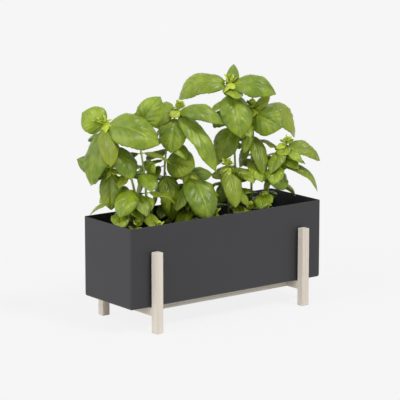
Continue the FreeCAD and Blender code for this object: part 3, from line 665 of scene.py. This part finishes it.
def leaf_skin(name, bright, deep, vein, under):
    """Satin basil leaf, paler on its veins and beneath, with painted shade towards the stalk, each leaf
    with a tone of its own.
    """
    sizes = settings("leaves")
    paint = Paint(name)
    across, along, own = paint.parts(paint.attribute("blade_place", "Vector"))
    beneath = paint.attribute("blade_under", "Fac")
    side = across.size()
    phase = side_veins(side, along, own).fraction()
    line = ((phase - 0.5).size() * 2).ramped(0.84, 1.0)
    line = line * (1 - side.ramped(0.72, 0.98)) * (1 - along.ramped(0.82, 0.97))
    midrib = 1 - side.ramped(0.02, 0.055)
    where = paint.place()
    patches = paint.noise(where, 42, 3, 0.55)
    cells = paint.noise(where, 800, 3, 0.6)
    net = paint.node("ShaderNodeTexVoronoi", {"feature": "DISTANCE_TO_EDGE"},
                     {"Vector": where, "Scale": 420.0}, "Distance")
    mesh_lines = 1 - net.ramped(0.0, 0.14)
    tone = own * 0.58 + patches.ramped(0.34, 0.66) * 0.58 + (cells - 0.5) * 0.34 - 0.07
    shade = paint.mix(tone, deep, bright)
    shade = paint.mix((own * 7.3).fraction().ramped(0.45, 1.0) * 0.55, shade, sizes.olive)
    # painted shade: the leaf is darker towards the stalk, where the leaves above shade it, and its tissue
    # is yellower beside the foot of the midrib
    shade = paint.mix((1 - along.ramped(0.10, 0.70)) * 0.34, shade, deep)
    shade = paint.mix((1 - along.ramped(0.0, 0.30)) * 0.22 * (1 - side), shade, vein)
    shade = paint.mix(line * 0.15 + midrib * 0.28 + mesh_lines * 0.06, shade, vein)
    shade = paint.mix(beneath * 0.60, shade, under)
    rough = sizes.roughness + beneath * 0.27 + cells * 0.12 - line * 0.04
    relief = cells * 0.5 - mesh_lines * 0.35 - line * (1 - beneath * 2) * 0.8
    return paint.surface({"Base Color": shade, "Roughness": rough, "Specular IOR Level": sizes.sheen,
                          "Subsurface Weight": 0.15, "Subsurface Radius": (0.6, 1.0, 0.12),
                          "Subsurface Scale": sizes.glow_depth,
                          "Normal": paint.bump(relief, sizes.cell_depth, 0.6)})


class PLANTER_OT_stage(bpy.types.Operator):
    """Adds the pale floor, the soft light and the camera"""

    bl_idname = "planter.stage"
    bl_label = "Stage"

    def execute(self, context):
        sizes = settings("stage")
        scene = context.scene
        scene.view_settings.view_transform = "Standard"
        self.floor(sizes)
        self.sky(sizes)
        self.sun("key_light", sizes.key, sizes.key_turn, sizes.key_angle)
        self.sun("fill_light", sizes.fill, sizes.fill_turn, sizes.fill_angle)
        camera = bpy.data.cameras.new("camera")
        camera.lens = sizes.camera_lens
        camera.sensor_width = sizes.camera_film
        camera.clip_end = sizes.camera_reach
        made = bpy.data.objects.new("camera", camera)
        yaw, pitch = math.radians(sizes.camera_yaw), math.radians(sizes.camera_pitch)
        back = Vector((math.sin(yaw) * math.cos(pitch), -math.cos(yaw) * math.cos(pitch), math.sin(pitch)))
        made.location = Vector(sizes.camera_aim) + back * sizes.camera_distance
        made.rotation_euler = back.to_track_quat("Z", "Y").to_euler()
        scene.collection.objects.link(made)
        scene.camera = made
        return {"FINISHED"}

    def floor(self, sizes):
        """A wide floor that takes the object's shadow and shows the backdrop's brightness elsewhere."""
        half = sizes.floor_size / 2
        paint = Paint("floor")
        haze = paint.noise(paint.place(), 3, 2)
        plain = paint.node("ShaderNodeBsdfDiffuse", {}, {
            "Color": paint.mix(haze, sizes.floor_colour, scaled(sizes.floor_colour, 1.004))})
        glow = paint.node("ShaderNodeEmission", {}, {"Color": (sizes.backdrop,) * 3, "Strength": 1.0})
        even = self.seen(paint) * sizes.evenness
        material = paint.end(paint.node("ShaderNodeMixShader", {}, {0: even, 1: plain, 2: glow}))
        corners = [(x * half, y * half, -sizes.floor_gap) for x, y in ((-1, -1), (1, -1), (1, 1), (-1, 1))]
        add_mesh("floor", corners, [(0, 1, 2, 3)], material, smooth=False)

    def sky(self, sizes):
        """Even light from all sides, which the camera, mirrors and glass see as the backdrop."""
        paint = Paint("sky", "worlds")
        level = self.seen(paint) * (sizes.backdrop - sizes.sky) + sizes.sky
        light = paint.node("ShaderNodeBackground", {}, {"Color": (1, 1, 1), "Strength": level})
        bpy.context.scene.world = paint.end(light, "ShaderNodeOutputWorld")

    def seen(self, paint):
        """1 for a ray from the camera, a mirror or glass, and 0 for one that only carries light."""
        camera, mirror, glass = (paint.node("ShaderNodeLightPath", {}, {}, f"Is {kind} Ray")
                                 for kind in ("Camera", "Glossy", "Transmission"))
        return camera.or_more(mirror).or_more(glass)

    def sun(self, name, strength, turn, angle_deg):
        """A soft light that is even over the whole floor."""
        light = bpy.data.lights.new(name, "SUN")
        light.energy = strength
        light.angle = math.radians(angle_deg)
        made = bpy.data.objects.new(name, light)
        made.rotation_euler = turn
        bpy.context.scene.collection.objects.link(made)


class PLANTER_OT_trough(bpy.types.Operator):
    """Makes the folded steel trough with eased folds and rim"""

    bl_idname = "planter.trough"
    bl_label = "Trough"

    def execute(self, context):
        sizes = settings("trough")
        low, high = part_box("trough")
        half = Vector((high.x, high.y))
        steps = sizes.bend_steps
        outer, sheet, ease = sizes.bend, sizes.sheet, sizes.rim_ease
        inner = outer - sheet
        # each ring of the skin is its inset and its height: from the base out, up, over the rim and back in
        path = [(outer, low.z)]
        path += self.arc(outer, low.z + outer, outer, -90, -180, steps)
        path += [(0, low.z + outer + ease), (0, high.z - 2 * ease)]
        path += self.arc(ease, high.z - ease, ease, 180, 90, sizes.rim_steps)
        path += self.arc(sheet - ease, high.z - ease, ease, 90, 0, sizes.rim_steps)
        path += [(sheet, high.z - 2 * ease), (sheet, low.z + outer + ease)]
        path += self.arc(outer, low.z + outer, inner, 180, 270, steps)
        path += [(outer, low.z + sheet)]
        points = []
        for inset, z in path:
            corner = max(outer - inset, sizes.least_bend)
            points += self.ring(half.x - inset, half.y - inset, corner, z, steps)
        faces = tube_faces(len(path), 4 * (steps + 1))
        made = add_mesh("trough_shell", points, faces, powder_coat())
        work = bmesh.new()
        work.from_mesh(made.data)
        bmesh.ops.remove_doubles(work, verts=work.verts, dist=SAME_PLACE)
        bmesh.ops.recalc_face_normals(work, faces=work.faces)
        work.to_mesh(made.data)
        work.free()
        made.modifiers.new("weighted", "WEIGHTED_NORMAL")
        dress(settled(made, "trough_shell"), "trough", "dark_steel", "trough")
        return {"FINISHED"}

    def arc(self, inset, height, radius, start_deg, end_deg, steps):
        """An arc in the plane of inset and height."""
        angles = [math.radians(start_deg + (end_deg - start_deg) * n / steps) for n in range(steps + 1)]
        return [(inset + radius * math.cos(a), height + radius * math.sin(a)) for a in angles]

    def ring(self, half_x, half_y, radius, z, steps):
        """A rectangle with rounded corners, from its right side on."""
        made = []
        for quarter, (sx, sy) in enumerate(((1, 1), (-1, 1), (-1, -1), (1, -1))):
            for n in range(steps + 1):
                a = math.pi / 2 * (quarter + n / steps)
                made.append((sx * (half_x - radius) + radius * math.cos(a),
                             sy * (half_y - radius) + radius * math.sin(a), z))
        return made


class PLANTER_OT_stand(bpy.types.Operator):
    """Gives the stand's bars and dowels their wood"""

    bl_idname = "planter.stand"
    bl_label = "Stand"

    def execute(self, context):
        draw = random.Random(SEEDS["bars"])
        grain = {"leg": 2, "cross": 1, "long": 0}
        for node in frame["nodes"]:
            kind = node.split("_")[0]
            if kind in grain and not node.endswith("dowels"):
                shift = [draw.uniform(0.03, 0.5) for _ in range(3)]
                coat_node(node, ash_wood(f"ash_{node}", grain[kind], shift))
        for node, axis in (("leg_dowels", 1), ("rail_dowels", 0)):
            coat_node(node, self.beech(f"beech_{node}", axis))
        return {"FINISHED"}

    def beech(self, name, axis):
        """Plain beech with short dark flecks along an axis."""
        sizes = settings("stand")
        paint = Paint(name)
        along = [1.0, 1.0, 1.0]
        along[axis] = FLECK_STRETCH
        where = paint.stretched(along)
        flecks = paint.noise(where, 1700, 2, 0.6)
        shade = paint.mix(flecks.ramped(0.45, 0.75), sizes.dowel, scaled(sizes.dowel, 0.6))
        return paint.surface({"Base Color": shade, "Roughness": sizes.dowel_roughness + flecks * 0.1,
                              "Normal": paint.bump(flecks, sizes.pore_depth, 0.4)})


class PLANTER_OT_pots(bpy.types.Operator):
    """Finishes the nursery pots and adds their moulded ribs and rolled beads"""

    bl_idname = "planter.pots"
    bl_label = "Pots"

    def execute(self, context):
        sizes = settings("pots")
        plastic = pot_plastic()
        for plant in PLANTS:
            node = f"pot_{plant}"
            coat_node(node, plastic)
            low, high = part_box(node)
            centre = (low + high) / 2
            lip_radius = (high.x - low.x) / 2
            top_radius = lip_radius - sizes.lip_reach
            tree = Tree(f"pot_ribs_{plant}", {"Ribs": sizes.ribs, "Rib radius": sizes.rib_radius,
                                              "Bead radius": sizes.bead_radius})
            foot = Vector((top_radius - sizes.taper, 0, low.z + sizes.foot))
            head = Vector((top_radius - sizes.wall, 0, high.z - sizes.lip_height))
            line = tree.node("GeometryNodeCurvePrimitiveLine", {}, {"Start": foot, "End": head})
            rib = tree.tube(line, sizes.rib_sides, "Rib radius", True)
            angle = tree.times(tree.node("GeometryNodeInputIndex"), tree.over(2 * math.pi, "Ribs"))
            spin = tree.node("ShaderNodeCombineXYZ", {}, {"Z": angle})
            posts = tree.node("GeometryNodePoints", {}, {"Count": "Ribs"})
            ribs = tree.node("GeometryNodeInstanceOnPoints", {}, {
                "Points": posts, "Instance": rib, "Rotation": spin})
            hoop = tree.hoop(sizes.hoop_steps, lip_radius - sizes.wall)
            bead = tree.tube(hoop, sizes.bead_sides, "Bead radius")
            bead = tree.moved(bead, (0, 0, high.z - sizes.wall / 2))
            joined = tree.node("GeometryNodeJoinGeometry", {}, {"Geometry": [ribs, bead]})
            tree.finish(tree.moved(joined, (centre.x, centre.y, 0)), plastic)
            base = add_mesh("rib_base", [(0, 0, 0)], [], plastic)
            made = tree.grow(base, f"pot_ribs_{plant}", smooth=True)
            dress(made, f"{plant}_plant", "black_pot")
        return {"FINISHED"}


class PLANTER_OT_soil(bpy.types.Operator):
    """Makes the crumbly soil in each pot"""

    bl_idname = "planter.soil"
    bl_label = "Soil"

    def execute(self, context):
        sizes = settings("soil")
        peat = moist_soil("peat", 1.0)
        crumb = moist_soil("crumb", 1.6)
        for number, plant in enumerate(PLANTS):
            low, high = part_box(f"soil_{plant}")
            centre = (low + high) / 2
            top_radius = (high.x - low.x) / 2
            base_radius = top_radius - sizes.taper
            n = sizes.around
            points = [(centre.x, centre.y, self.height(centre.x, centre.y, 0, high.z, sizes))]
            for ring in range(1, sizes.rings + 1):
                reach = ring / sizes.rings
                points += [(x, y, self.height(x, y, reach, high.z, sizes))
                           for x, y, _ in circle(centre, top_radius * reach, 0, n)]
            points += circle(centre, base_radius, low.z + sizes.ease, n)
            points += circle(centre, base_radius - sizes.ease, low.z, n)
            faces = [(0, 1 + k, 1 + (k + 1) % n) for k in range(n)]
            for ring in range(sizes.rings + 1):
                first = 1 + ring * n
                faces += [(first + k, first + n + k, first + n + (k + 1) % n, first + (k + 1) % n)
                          for k in range(n)]
            last = 1 + (sizes.rings + 1) * n
            faces.append(tuple(reversed(range(last, last + n))))
            made = add_mesh(f"soil_ball_{plant}", points, faces, peat)
            dress(made, f"{plant}_plant", "potting_soil", f"soil_{plant}")
            self.crumbs(plant, number, centre, top_radius, high.z, crumb, sizes)
        return {"FINISHED"}

    def height(self, x, y, reach, level, sizes):
        """The lumpy surface's height at a place, lower towards the pot's wall."""
        lumps = sum(part * noise.noise(Vector((x, y, layer)) * scale) for part, layer, scale in SOIL_LUMPS)
        bare = level - SOIL_SINK * sizes.relief + lumps * sizes.relief * SOIL_SWELL
        return bare - sizes.dip * reach ** DIP_POWER

    def crumbs(self, plant, number, centre, radius, level, material, sizes):
        """Loose crumbs and bits of bark, scattered on the soil."""
        tree = Tree(f"crumbs_{plant}", {"Crumbs": sizes.crumbs, "Radius": sizes.crumb_radius,
                                        "Seed": number + SEEDS["crumbs"]})
        lump = tree.node("GeometryNodeMeshIcoSphere", {}, {"Radius": "Radius", "Subdivisions": 1})
        where = tree.node("GeometryNodeInputPosition")
        wobble = tree.node("ShaderNodeTexNoise", {}, {"Vector": where, "Scale": WOBBLE_SCALE}, "Color")
        centred = tree.node("ShaderNodeVectorMath", {"operation": "SUBTRACT"},
                            {0: wobble, 1: (0.5, 0.5, 0.5)})
        offset = tree.node("ShaderNodeVectorMath", {"operation": "SCALE"},
                           {0: centred, "Scale": tree.times("Radius", CRUMB_WOBBLE)})
        lump = tree.node("GeometryNodeSetPosition", {}, {"Geometry": lump, "Offset": offset})
        density = tree.over("Crumbs", math.pi * radius * radius)
        places = tree.node("GeometryNodeDistributePointsOnFaces", {}, {
            "Mesh": tree.start.outputs["Geometry"], "Density": density, "Seed": "Seed"})
        many = tree.node("GeometryNodeInstanceOnPoints", {}, {
            "Points": places, "Instance": lump, "Scale": tree.varied(CRUMB_LEAST, CRUMB_MOST),
            "Rotation": tree.varied((0, 0, 0), CRUMB_TURN)})
        tree.finish(many, material)
        # the crumbs lie on a flat disc, which isn't kept
        rim = circle(centre, radius * CRUMB_REACH, level, DISC_SIDES)
        base = add_mesh("crumb_base", rim, [tuple(range(len(rim)))], material)
        made = tree.grow(base, f"soil_crumbs_{plant}", smooth=True)
        dress(made, f"{plant}_plant", "potting_soil")


def rings_of(node, tip_of):
    """Each solid of a node as its tip and its rings of points, counted from the tip."""
    work = bmesh.new()
    work.from_mesh(frame["nodes"][node].data)
    bmesh.ops.remove_doubles(work, verts=work.verts, dist=SAME_PLACE)
    found, seen = [], set()
    for seed in work.verts:
        if seed in seen:
            continue
        solid, queue = [], [seed]
        seen.add(seed)
        while queue:
            vert = queue.pop()
            solid.append(vert)
            for edge in vert.link_edges:
                other = edge.other_vert(vert)
                if other not in seen:
                    seen.add(other)
                    queue.append(other)
        tip = tip_of(solid)
        rings, done, level = [], {tip}, [tip]
        while level:
            level = sorted({e.other_vert(v) for v in level for e in v.link_edges} - done,
                           key=lambda vert: vert.index)
            done.update(level)
            if level:
                rings.append([vert.co.copy() for vert in level])
        found.append((tip.co.copy(), rings))
    work.free()
    return found


def middle_of(points):
    """The mean of some points."""
    return sum(points, Vector()) / len(points)


class Blade:
    """One leaf's place and form, read back from its CAD solid."""

    def __init__(self, tip, rings, draw):
        self.start = middle_of(rings[-1])
        self.stalk = max((point - self.start).length for point in rings[-1])
        run = tip - self.start
        self.length = run.length
        self.along = run.normalized()
        ring = rings[2]
        left, right = max(((a, b) for a in ring for b in ring), key=lambda pair: (pair[0] - pair[1]).length)
        self.width = (right - left).length
        self.side = (right - left).normalized()
        edges = (left + right) / 2
        rest = middle_of([point for point in ring if point is not left and point is not right])
        face = rest - edges
        face -= self.along * face.dot(self.along)
        face -= self.side * face.dot(self.side)
        self.face = face.normalized()
        station = PETIOLE_SHARE + (1 - PETIOLE_SHARE) * WIDEST_STATION
        rise = (edges - self.start).dot(self.face) + EDGE_DROP * self.width / 2
        self.arch = rise / (4 * station * (1 - station))
        self.own = draw.random()
        self.phase = draw.uniform(0, 2 * math.pi)

    def middle(self, share):
        """Points on the leaf's centre line, for an array of shares of its length."""
        share = np.asarray(share)[..., None]
        return (np.array(self.start) + np.array(self.along) * self.length * share
                + np.array(self.face) * self.arch * 4 * share * (1 - share))


class Skin:
    """Points, faces and marks that are gathered for one mesh."""

    def __init__(self):
        self.points = []
        self.faces = []
        self.places = []
        self.under = []
        self.total = 0

    def add(self, points, faces, places, under):
        self.faces += [tuple(n + self.total for n in face) for face in faces]
        self.points.append(points)
        self.places.append(places)
        self.under.append(under)
        self.total += len(points)

    def build(self, name, material):
        """The gathered mesh, with its marks as attributes."""
        made = add_mesh(name, np.concatenate(self.points), self.faces, material)
        mesh = made.data
        place = mesh.attributes.new("blade_place", "FLOAT_VECTOR", "POINT")
        place.data.foreach_set("vector", np.concatenate(self.places).astype(np.float32).ravel())
        under = mesh.attributes.new("blade_under", "FLOAT", "POINT")
        under.data.foreach_set("value", np.concatenate(self.under).astype(np.float32))
        return made


def unit(vectors):
    """Vectors of length one."""
    return vectors / np.linalg.norm(vectors, axis=-1, keepdims=True)


def eased(distance, reach):
    """0 at a distance of 0, and 1 from the reach on."""
    return np.clip(distance / reach, 0, 1)


def blade_outline(along):
    """A blade's half width along its length, as a share of the largest: pointed at the tip alone."""
    return np.sin(np.pi * along ** OUTLINE_SKEW) ** (OUTLINE_ROUND + TIP_POINT * along ** TIP_POWER)


def blade_relief(across, along, leaf, sizes):
    """The bulges between the side veins, in metres above the leaf's smooth form."""
    side = np.abs(across)
    phase = side_veins(side, along, leaf.own) % 1
    turned = along * BULGE_TURNS[0] + across * BULGE_TURNS[1] + leaf.phase
    strength = BULGE_MEAN + BULGE_SPREAD * np.sin(turned)
    bulge = (1 - np.cos(2 * np.pi * phase)) / 2 * strength
    fade = math.prod(eased(gap, reach) for gap, reach in zip((side, 1 - side, 1 - along), BULGE_REACH))
    height = leaf.width * sizes.puff * (PUFF_LEAST + PUFF_MORE * leaf.own)
    return height * (bulge - BULGE_BELOW) * fade


def grow_blade(skin, leaf, columns, rows, sizes):
    """Adds a leaf's blade: a thin closed shell, cupped, grooved at its midrib, puffed between its veins."""
    u, v = np.meshgrid(np.linspace(-1, 1, columns), np.linspace(FIRST_ROW, LAST_ROW, rows))
    side = np.abs(u)
    share = BLADE_START + (1 - BLADE_START) * v
    outline = blade_outline(v) * (1 - TIP_NARROWING * eased(v - (1 - TIP_STRETCH), TIP_STRETCH))
    saw = (v * sizes.teeth + leaf.own) % 1 - 0.5
    uneven = TOOTH_MEAN + TOOTH_SPREAD * np.sin(v * TOOTH_TURNS + leaf.phase + 2 * np.sign(u))
    ragged = sizes.tooth_depth * uneven
    teeth = 1 + ragged * saw * side ** MARGIN_POWER * eased(v - TEETH_START, TEETH_GROWTH)
    half = leaf.width / 2 * BLADE_FULLNESS * outline * teeth
    droop = -EDGE_DROP * side ** DROOP_POWER - GROOVE_DROP * np.exp(-(side / GROOVE_WIDTH) ** GROOVE_POWER)
    waves = np.sin(v * LONG_WAVES + leaf.phase + u * WAVE_SLANT)
    waves += SHORT_HEIGHT * np.sin(v * SHORT_WAVES + 2 * leaf.phase)
    buckles = np.sin(BUCKLES * v + leaf.phase) * np.cos(BUCKLE_SLANT * u + 2 * leaf.phase)
    wave = sizes.wave * side ** WAVE_POWER * waves + sizes.buckle * side * buckles
    smooth = (leaf.middle(share) + np.array(leaf.side) * (half * u)[..., None]
              + np.array(leaf.face) * (half * (droop + wave))[..., None])
    normal = unit(np.cross(np.gradient(smooth, axis=1), np.gradient(smooth, axis=0)))
    normal *= np.sign(np.sum(normal * np.array(leaf.face), axis=-1).mean())
    relief = blade_relief(u, v, leaf, sizes)[..., None]
    thin = sizes.thickness / 2 * (1 - RIM_THINNING * side ** MARGIN_POWER)[..., None]
    top = (smooth + normal * (relief + thin)).reshape(-1, 3)
    under = (smooth + normal * (relief - thin)).reshape(-1, 3)
    total = rows * columns
    outward = np.dot(np.cross(leaf.side, leaf.along), leaf.face) > 0
    faces = []
    for r in range(rows - 1):
        for c in range(columns - 1):
            a = r * columns + c
            quad = (a, a + 1, a + 1 + columns, a + columns)
            faces.append(quad)
            faces.append(tuple(n + total for n in reversed(quad)))
    rim = list(range(columns))
    rim += [r * columns + columns - 1 for r in range(1, rows)]
    rim += [(rows - 1) * columns + c for c in range(columns - 2, -1, -1)]
    rim += [r * columns for r in range(rows - 2, 0, -1)]
    for n, a in enumerate(rim):
        b = rim[(n + 1) % len(rim)]
        faces.append((b, a, a + total, b + total))
    if not outward:
        faces = [tuple(reversed(face)) for face in faces]
    place = np.stack([u.ravel(), v.ravel(), np.full(total, leaf.own)], 1)
    skin.add(np.concatenate([top, under]), faces, np.concatenate([place, place]),
             np.concatenate([np.zeros(total), np.ones(total)]))


def grow_tube(skin, line, radii, around, place, section=np.ones_like):
    """Adds a closed tube along a line of points, with a radius at each and a rule for its section."""
    line = np.asarray(line)
    tangent = unit(np.gradient(line, axis=0))
    side = np.cross(tangent[0], ASKEW)
    rings = []
    angles = 2 * np.pi * np.arange(around) / around
    for n, point in enumerate(line):
        side = unit(side - tangent[n] * np.dot(side, tangent[n]))
        other = np.cross(tangent[n], side)
        reach = radii[n] * section(angles)
        rings.append(point + np.outer(np.cos(angles) * reach, side)
                     + np.outer(np.sin(angles) * reach, other))
    points = np.concatenate(rings)
    places = np.repeat(place, around, axis=0)
    skin.add(points, tube_faces(len(line), around), places, np.zeros(len(points)))


def grow_stalk(skin, leaf, steps, around):
    """Adds a leaf's petiole, which runs on under the blade as its midrib."""
    share = np.linspace(STALK_START, MIDRIB_END, steps)
    along = eased(share - PETIOLE_SHARE, 1 - PETIOLE_SHARE)
    drop = GROOVE_DROP * leaf.width / 2 * blade_outline(along)
    line = leaf.middle(share) - np.array(leaf.face) * (drop + MIDRIB_GAP * (along > 0))[:, None]
    # the foot reaches into the stem
    line[0] = np.array(leaf.start - leaf.along * STALK_FOOT)
    radii = leaf.stalk * (1 - MIDRIB_LOSS * eased(share, MIDRIB_END) ** MIDRIB_POWER)
    radii[0] = leaf.stalk * STALK_FLARE
    place = np.stack([np.zeros(steps), along, np.full(steps, leaf.own)], 1)
    grow_tube(skin, line, radii, around, place)


class PLANTER_OT_stems(bpy.types.Operator):
    """Grows the square stems, swollen where their leaves join"""

    bl_idname = "planter.stems"
    bl_label = "Stems"

    def execute(self, context):
        sizes = settings("stems")
        material = stem_skin()
        for plant in PLANTS:
            joints = [middle_of(rings[-1]) for part in ("leaves", "inner_leaves", "shoot_tips")
                      for _, rings in rings_of(f"basil_{plant}_{part}", widest_link)]
            skin = Skin()
            for tip, rings in rings_of(f"basil_{plant}_stems", highest):
                rings.reverse()
                centres = [middle_of(ring) for ring in rings]
                radii = [sum((p - c).length for p in ring) / len(ring) for c, ring in zip(centres, rings)]
                self.stem(skin, centres + [tip], radii + [radii[-1] * STEM_POINT], joints, sizes)
            made = skin.build(f"stems_{plant}", material)
            dress(made, f"{plant}_plant", "basil_stem", f"basil_{plant}_stems")
        return {"FINISHED"}

    def stem(self, skin, centres, radii, joints, sizes):
        """One stem through the centres of its rings."""
        knots = [np.array(c) for c in centres]
        line, width = [], []
        for n in range(len(knots) - 1):
            before = knots[n - 1] if n else 2 * knots[0] - knots[1]
            after = knots[n + 2] if n + 2 < len(knots) else 2 * knots[-1] - knots[-2]
            for step in range(sizes.steps):
                t = step / sizes.steps
                line.append(spline(before, knots[n], knots[n + 1], after, t))
                width.append(radii[n] + (radii[n + 1] - radii[n]) * t)
        line.append(knots[-1])
        width.append(radii[-1])
        line = np.array(line)
        width = np.array(width)
        # leaves join in pairs, so each of them gives half of the swelling
        for joint in joints:
            gap = np.linalg.norm(line - np.array(joint), axis=1)
            if gap.min() < sizes.node_near:
                width *= 1 + sizes.node_swell / 2 * np.exp(-(gap / sizes.node_reach) ** 2)
        up = np.linspace(0, 1, len(line))
        place = np.stack([np.zeros(len(line)), up, np.zeros(len(line))], 1)
        grow_tube(skin, line, width, sizes.around, place, lambda a: 1 + sizes.square * np.cos(4 * a))


def spline(before, start, end, after, t):
    """A point on a smooth curve through its knots."""
    return 0.5 * (2 * start + (end - before) * t + (2 * before - 5 * start + 4 * end - after) * t * t
                  + (3 * start - before - 3 * end + after) * t ** 3)


def highest(solid):
    """A stem's tip is its highest point."""
    return max(solid, key=lambda vert: vert.co.z)


def widest_link(solid):
    """A leaf's tip is the point that eight edges meet in."""
    return max(solid, key=lambda vert: (len(vert.link_edges) == 8, len(vert.link_edges)))


def grow_leaves(kind, number, grid, stalk, material, slot):
    """One plant's leaves of one kind, over their CAD solids."""
    plant = PLANTS[number]
    draw = random.Random(SEEDS[kind] + number)
    skin = Skin()
    for tip, rings in rings_of(f"basil_{plant}_{kind}", widest_link):
        leaf = Blade(tip, rings, draw)
        grow_blade(skin, leaf, *grid, settings("leaves"))
        grow_stalk(skin, leaf, *stalk)
    made = skin.build(f"{kind}_{plant}", material)
    dress(made, f"{plant}_plant", slot, f"basil_{plant}_{kind}")


class PLANTER_OT_leaves(bpy.types.Operator):
    """Grows the basil's leaves over their CAD solids"""

    bl_idname = "planter.leaves"
    bl_label = "Leaves"

    def execute(self, context):
        sizes = settings("leaves")
        material = leaf_skin("leaf_skin", sizes.bright, sizes.deep, sizes.vein, sizes.under)
        grid = (sizes.columns, sizes.rows)
        for number in range(len(PLANTS)):
            for kind in ("leaves", "inner_leaves"):
                grow_leaves(kind, number, grid, GROWN_STALK, material, "basil_leaf")
        return {"FINISHED"}


class PLANTER_OT_shoot_tips(bpy.types.Operator):
    """Grows the young leaves at the shoots' tips"""

    bl_idname = "planter.shoot_tips"
    bl_label = "Shoot tips"

    def execute(self, context):
        young = settings("young")
        vein = settings("leaves").vein
        material = leaf_skin("young_leaf_skin", young.fresh, young.grown, vein, young.under)
        grid = (young.columns, young.rows)
        for number in range(len(PLANTS)):
            grow_leaves("shoot_tips", number, grid, YOUNG_STALK, material, "basil_young_leaf")
        return {"FINISHED"}


class PLANTER_OT_buds(bpy.types.Operator):
    """Sets a tuft of tiny leaves round the tip of each shoot"""

    bl_idname = "planter.buds"
    bl_label = "Buds"

    def execute(self, context):
        young = settings("young")
        material = leaf_skin("bud_skin", young.fresh, young.grown, young.fresh, young.under)
        for number, plant in enumerate(PLANTS):
            draw = random.Random(SEEDS["buds"] + number)
            pattern = self.pattern(young, material, draw)
            tree = Tree(f"buds_{plant}", {"Size": young.bud_size})
            leaf = tree.node("GeometryNodeObjectInfo", {}, {"Object": pattern}, "Geometry")
            turn, size = (tree.node("GeometryNodeInputNamedAttribute", {"data_type": "FLOAT_VECTOR"},
                                    {"Name": name}) for name in ("turn", "size"))
            size = tree.node("ShaderNodeVectorMath", {"operation": "SCALE"}, {0: size, "Scale": "Size"})
            tuft = tree.node("GeometryNodeInstanceOnPoints", {}, {
                "Points": tree.start.outputs["Geometry"], "Instance": leaf, "Rotation": turn,
                "Scale": size})
            tree.finish(tuft, material)
            made = tree.grow(self.tufts(plant, young, draw, material), f"buds_{plant}")
            bpy.data.objects.remove(pattern)
            dress(made, f"{plant}_plant", "basil_young_leaf")
        return {"FINISHED"}

    def pattern(self, young, material, draw):
        """One bud leaf, which lies along +Y from the origin with its face up."""
        reach = young.bud_length
        half = reach * young.bud_breadth / 2
        ring = [Vector((x, reach / 2, z)) for x, z in ((-half, 0), (half, 0), (0, half))]
        foot = [Vector((BUD_FOOT, 0, 0)), Vector((-BUD_FOOT, 0, 0))]
        leaf = Blade(Vector((0, reach, 0)), [None, None, ring, foot], draw)
        skin = Skin()
        grow_blade(skin, leaf, *BUD_GRID, settings("leaves"))
        return skin.build("bud_pattern", material)

    def tufts(self, plant, young, draw, material):
        """A point for each bud leaf, with its turn and its size."""
        points, turns, sizes = [], [], []
        for tip, rings in rings_of(f"basil_{plant}_stems", highest):
            rise = (tip - middle_of(rings[1])).normalized()
            upright = Vector((0, 0, 1)).rotation_difference(rise)
            first = draw.uniform(0, 360)
            for n in range(young.bud_leaves):
                share_out = (n + 0.5) / young.bud_leaves
                heading = first + GOLDEN_TURN * n + draw.uniform(-BUD_TWIST, BUD_TWIST)
                stand = young.bud_rise if share_out < 0.5 else -young.bud_droop
                stand = stand - young.bud_slant * share_out + draw.uniform(-BUD_TILT, BUD_TILT)
                around = Euler((0, 0, math.radians(heading))).to_quaternion()
                lift = Euler((math.radians(stand), 0, 0)).to_quaternion()
                turned = upright @ around @ lift
                points.append(tip - rise * young.bud_spread * share_out)
                turns.append(turned.to_euler())
                growth = (1 - young.bud_least) * share_out * draw.uniform(*BUD_GROWTH)
                sizes.append([young.bud_least + growth] * 3)
        made = add_mesh("tuft_base", points, [], material)
        for name, values in (("turn", turns), ("size", sizes)):
            kept = made.data.attributes.new(name, "FLOAT_VECTOR", "POINT")
            kept.data.foreach_set("vector", np.array([tuple(value) for value in values]).ravel())
        return made


OPERATORS = (PLANTER_OT_stage, PLANTER_OT_trough, PLANTER_OT_stand, PLANTER_OT_pots, PLANTER_OT_soil,
             PLANTER_OT_stems, PLANTER_OT_leaves, PLANTER_OT_shoot_tips, PLANTER_OT_buds)
GROUPS = {"stage": StageSettings, "trough": TroughSettings, "stand": StandSettings, "pots": PotSettings,
          "soil": SoilSettings, "stems": StemSettings, "leaves": LeafSettings, "young": YoungSettings}


class PLANTER_PT_panel(bpy.types.Panel):
    """Lists the planter's pieces"""

    bl_idname = "PLANTER_PT_panel"
    bl_label = "Herb planter"
    bl_space_type = "VIEW_3D"
    bl_region_type = "UI"
    bl_category = "Planter"

    def draw(self, context):
        for operator in OPERATORS:
            self.layout.operator(operator.bl_idname)
        for name, group in GROUPS.items():
            box = self.layout.box()
            box.label(text=name)
            for field in group.__annotations__:
                box.prop(getattr(context.scene, f"planter_{name}"), field)


def register():
    for name, group in GROUPS.items():
        bpy.utils.register_class(group)
        setattr(bpy.types.Scene, f"planter_{name}", PointerProperty(type=group))
    for operator in OPERATORS:
        bpy.utils.register_class(operator)
    bpy.utils.register_class(PLANTER_PT_panel)


def unregister():
    bpy.utils.unregister_class(PLANTER_PT_panel)
    for operator in reversed(OPERATORS):
        bpy.utils.unregister_class(operator)
    for name, group in GROUPS.items():
        delattr(bpy.types.Scene, f"planter_{name}")
        bpy.utils.unregister_class(group)


def main():
    register()
    for operator in OPERATORS:
        getattr(bpy.ops.planter, operator.bl_idname.split(".")[1])()


if __name__ == "__main__":
    main()
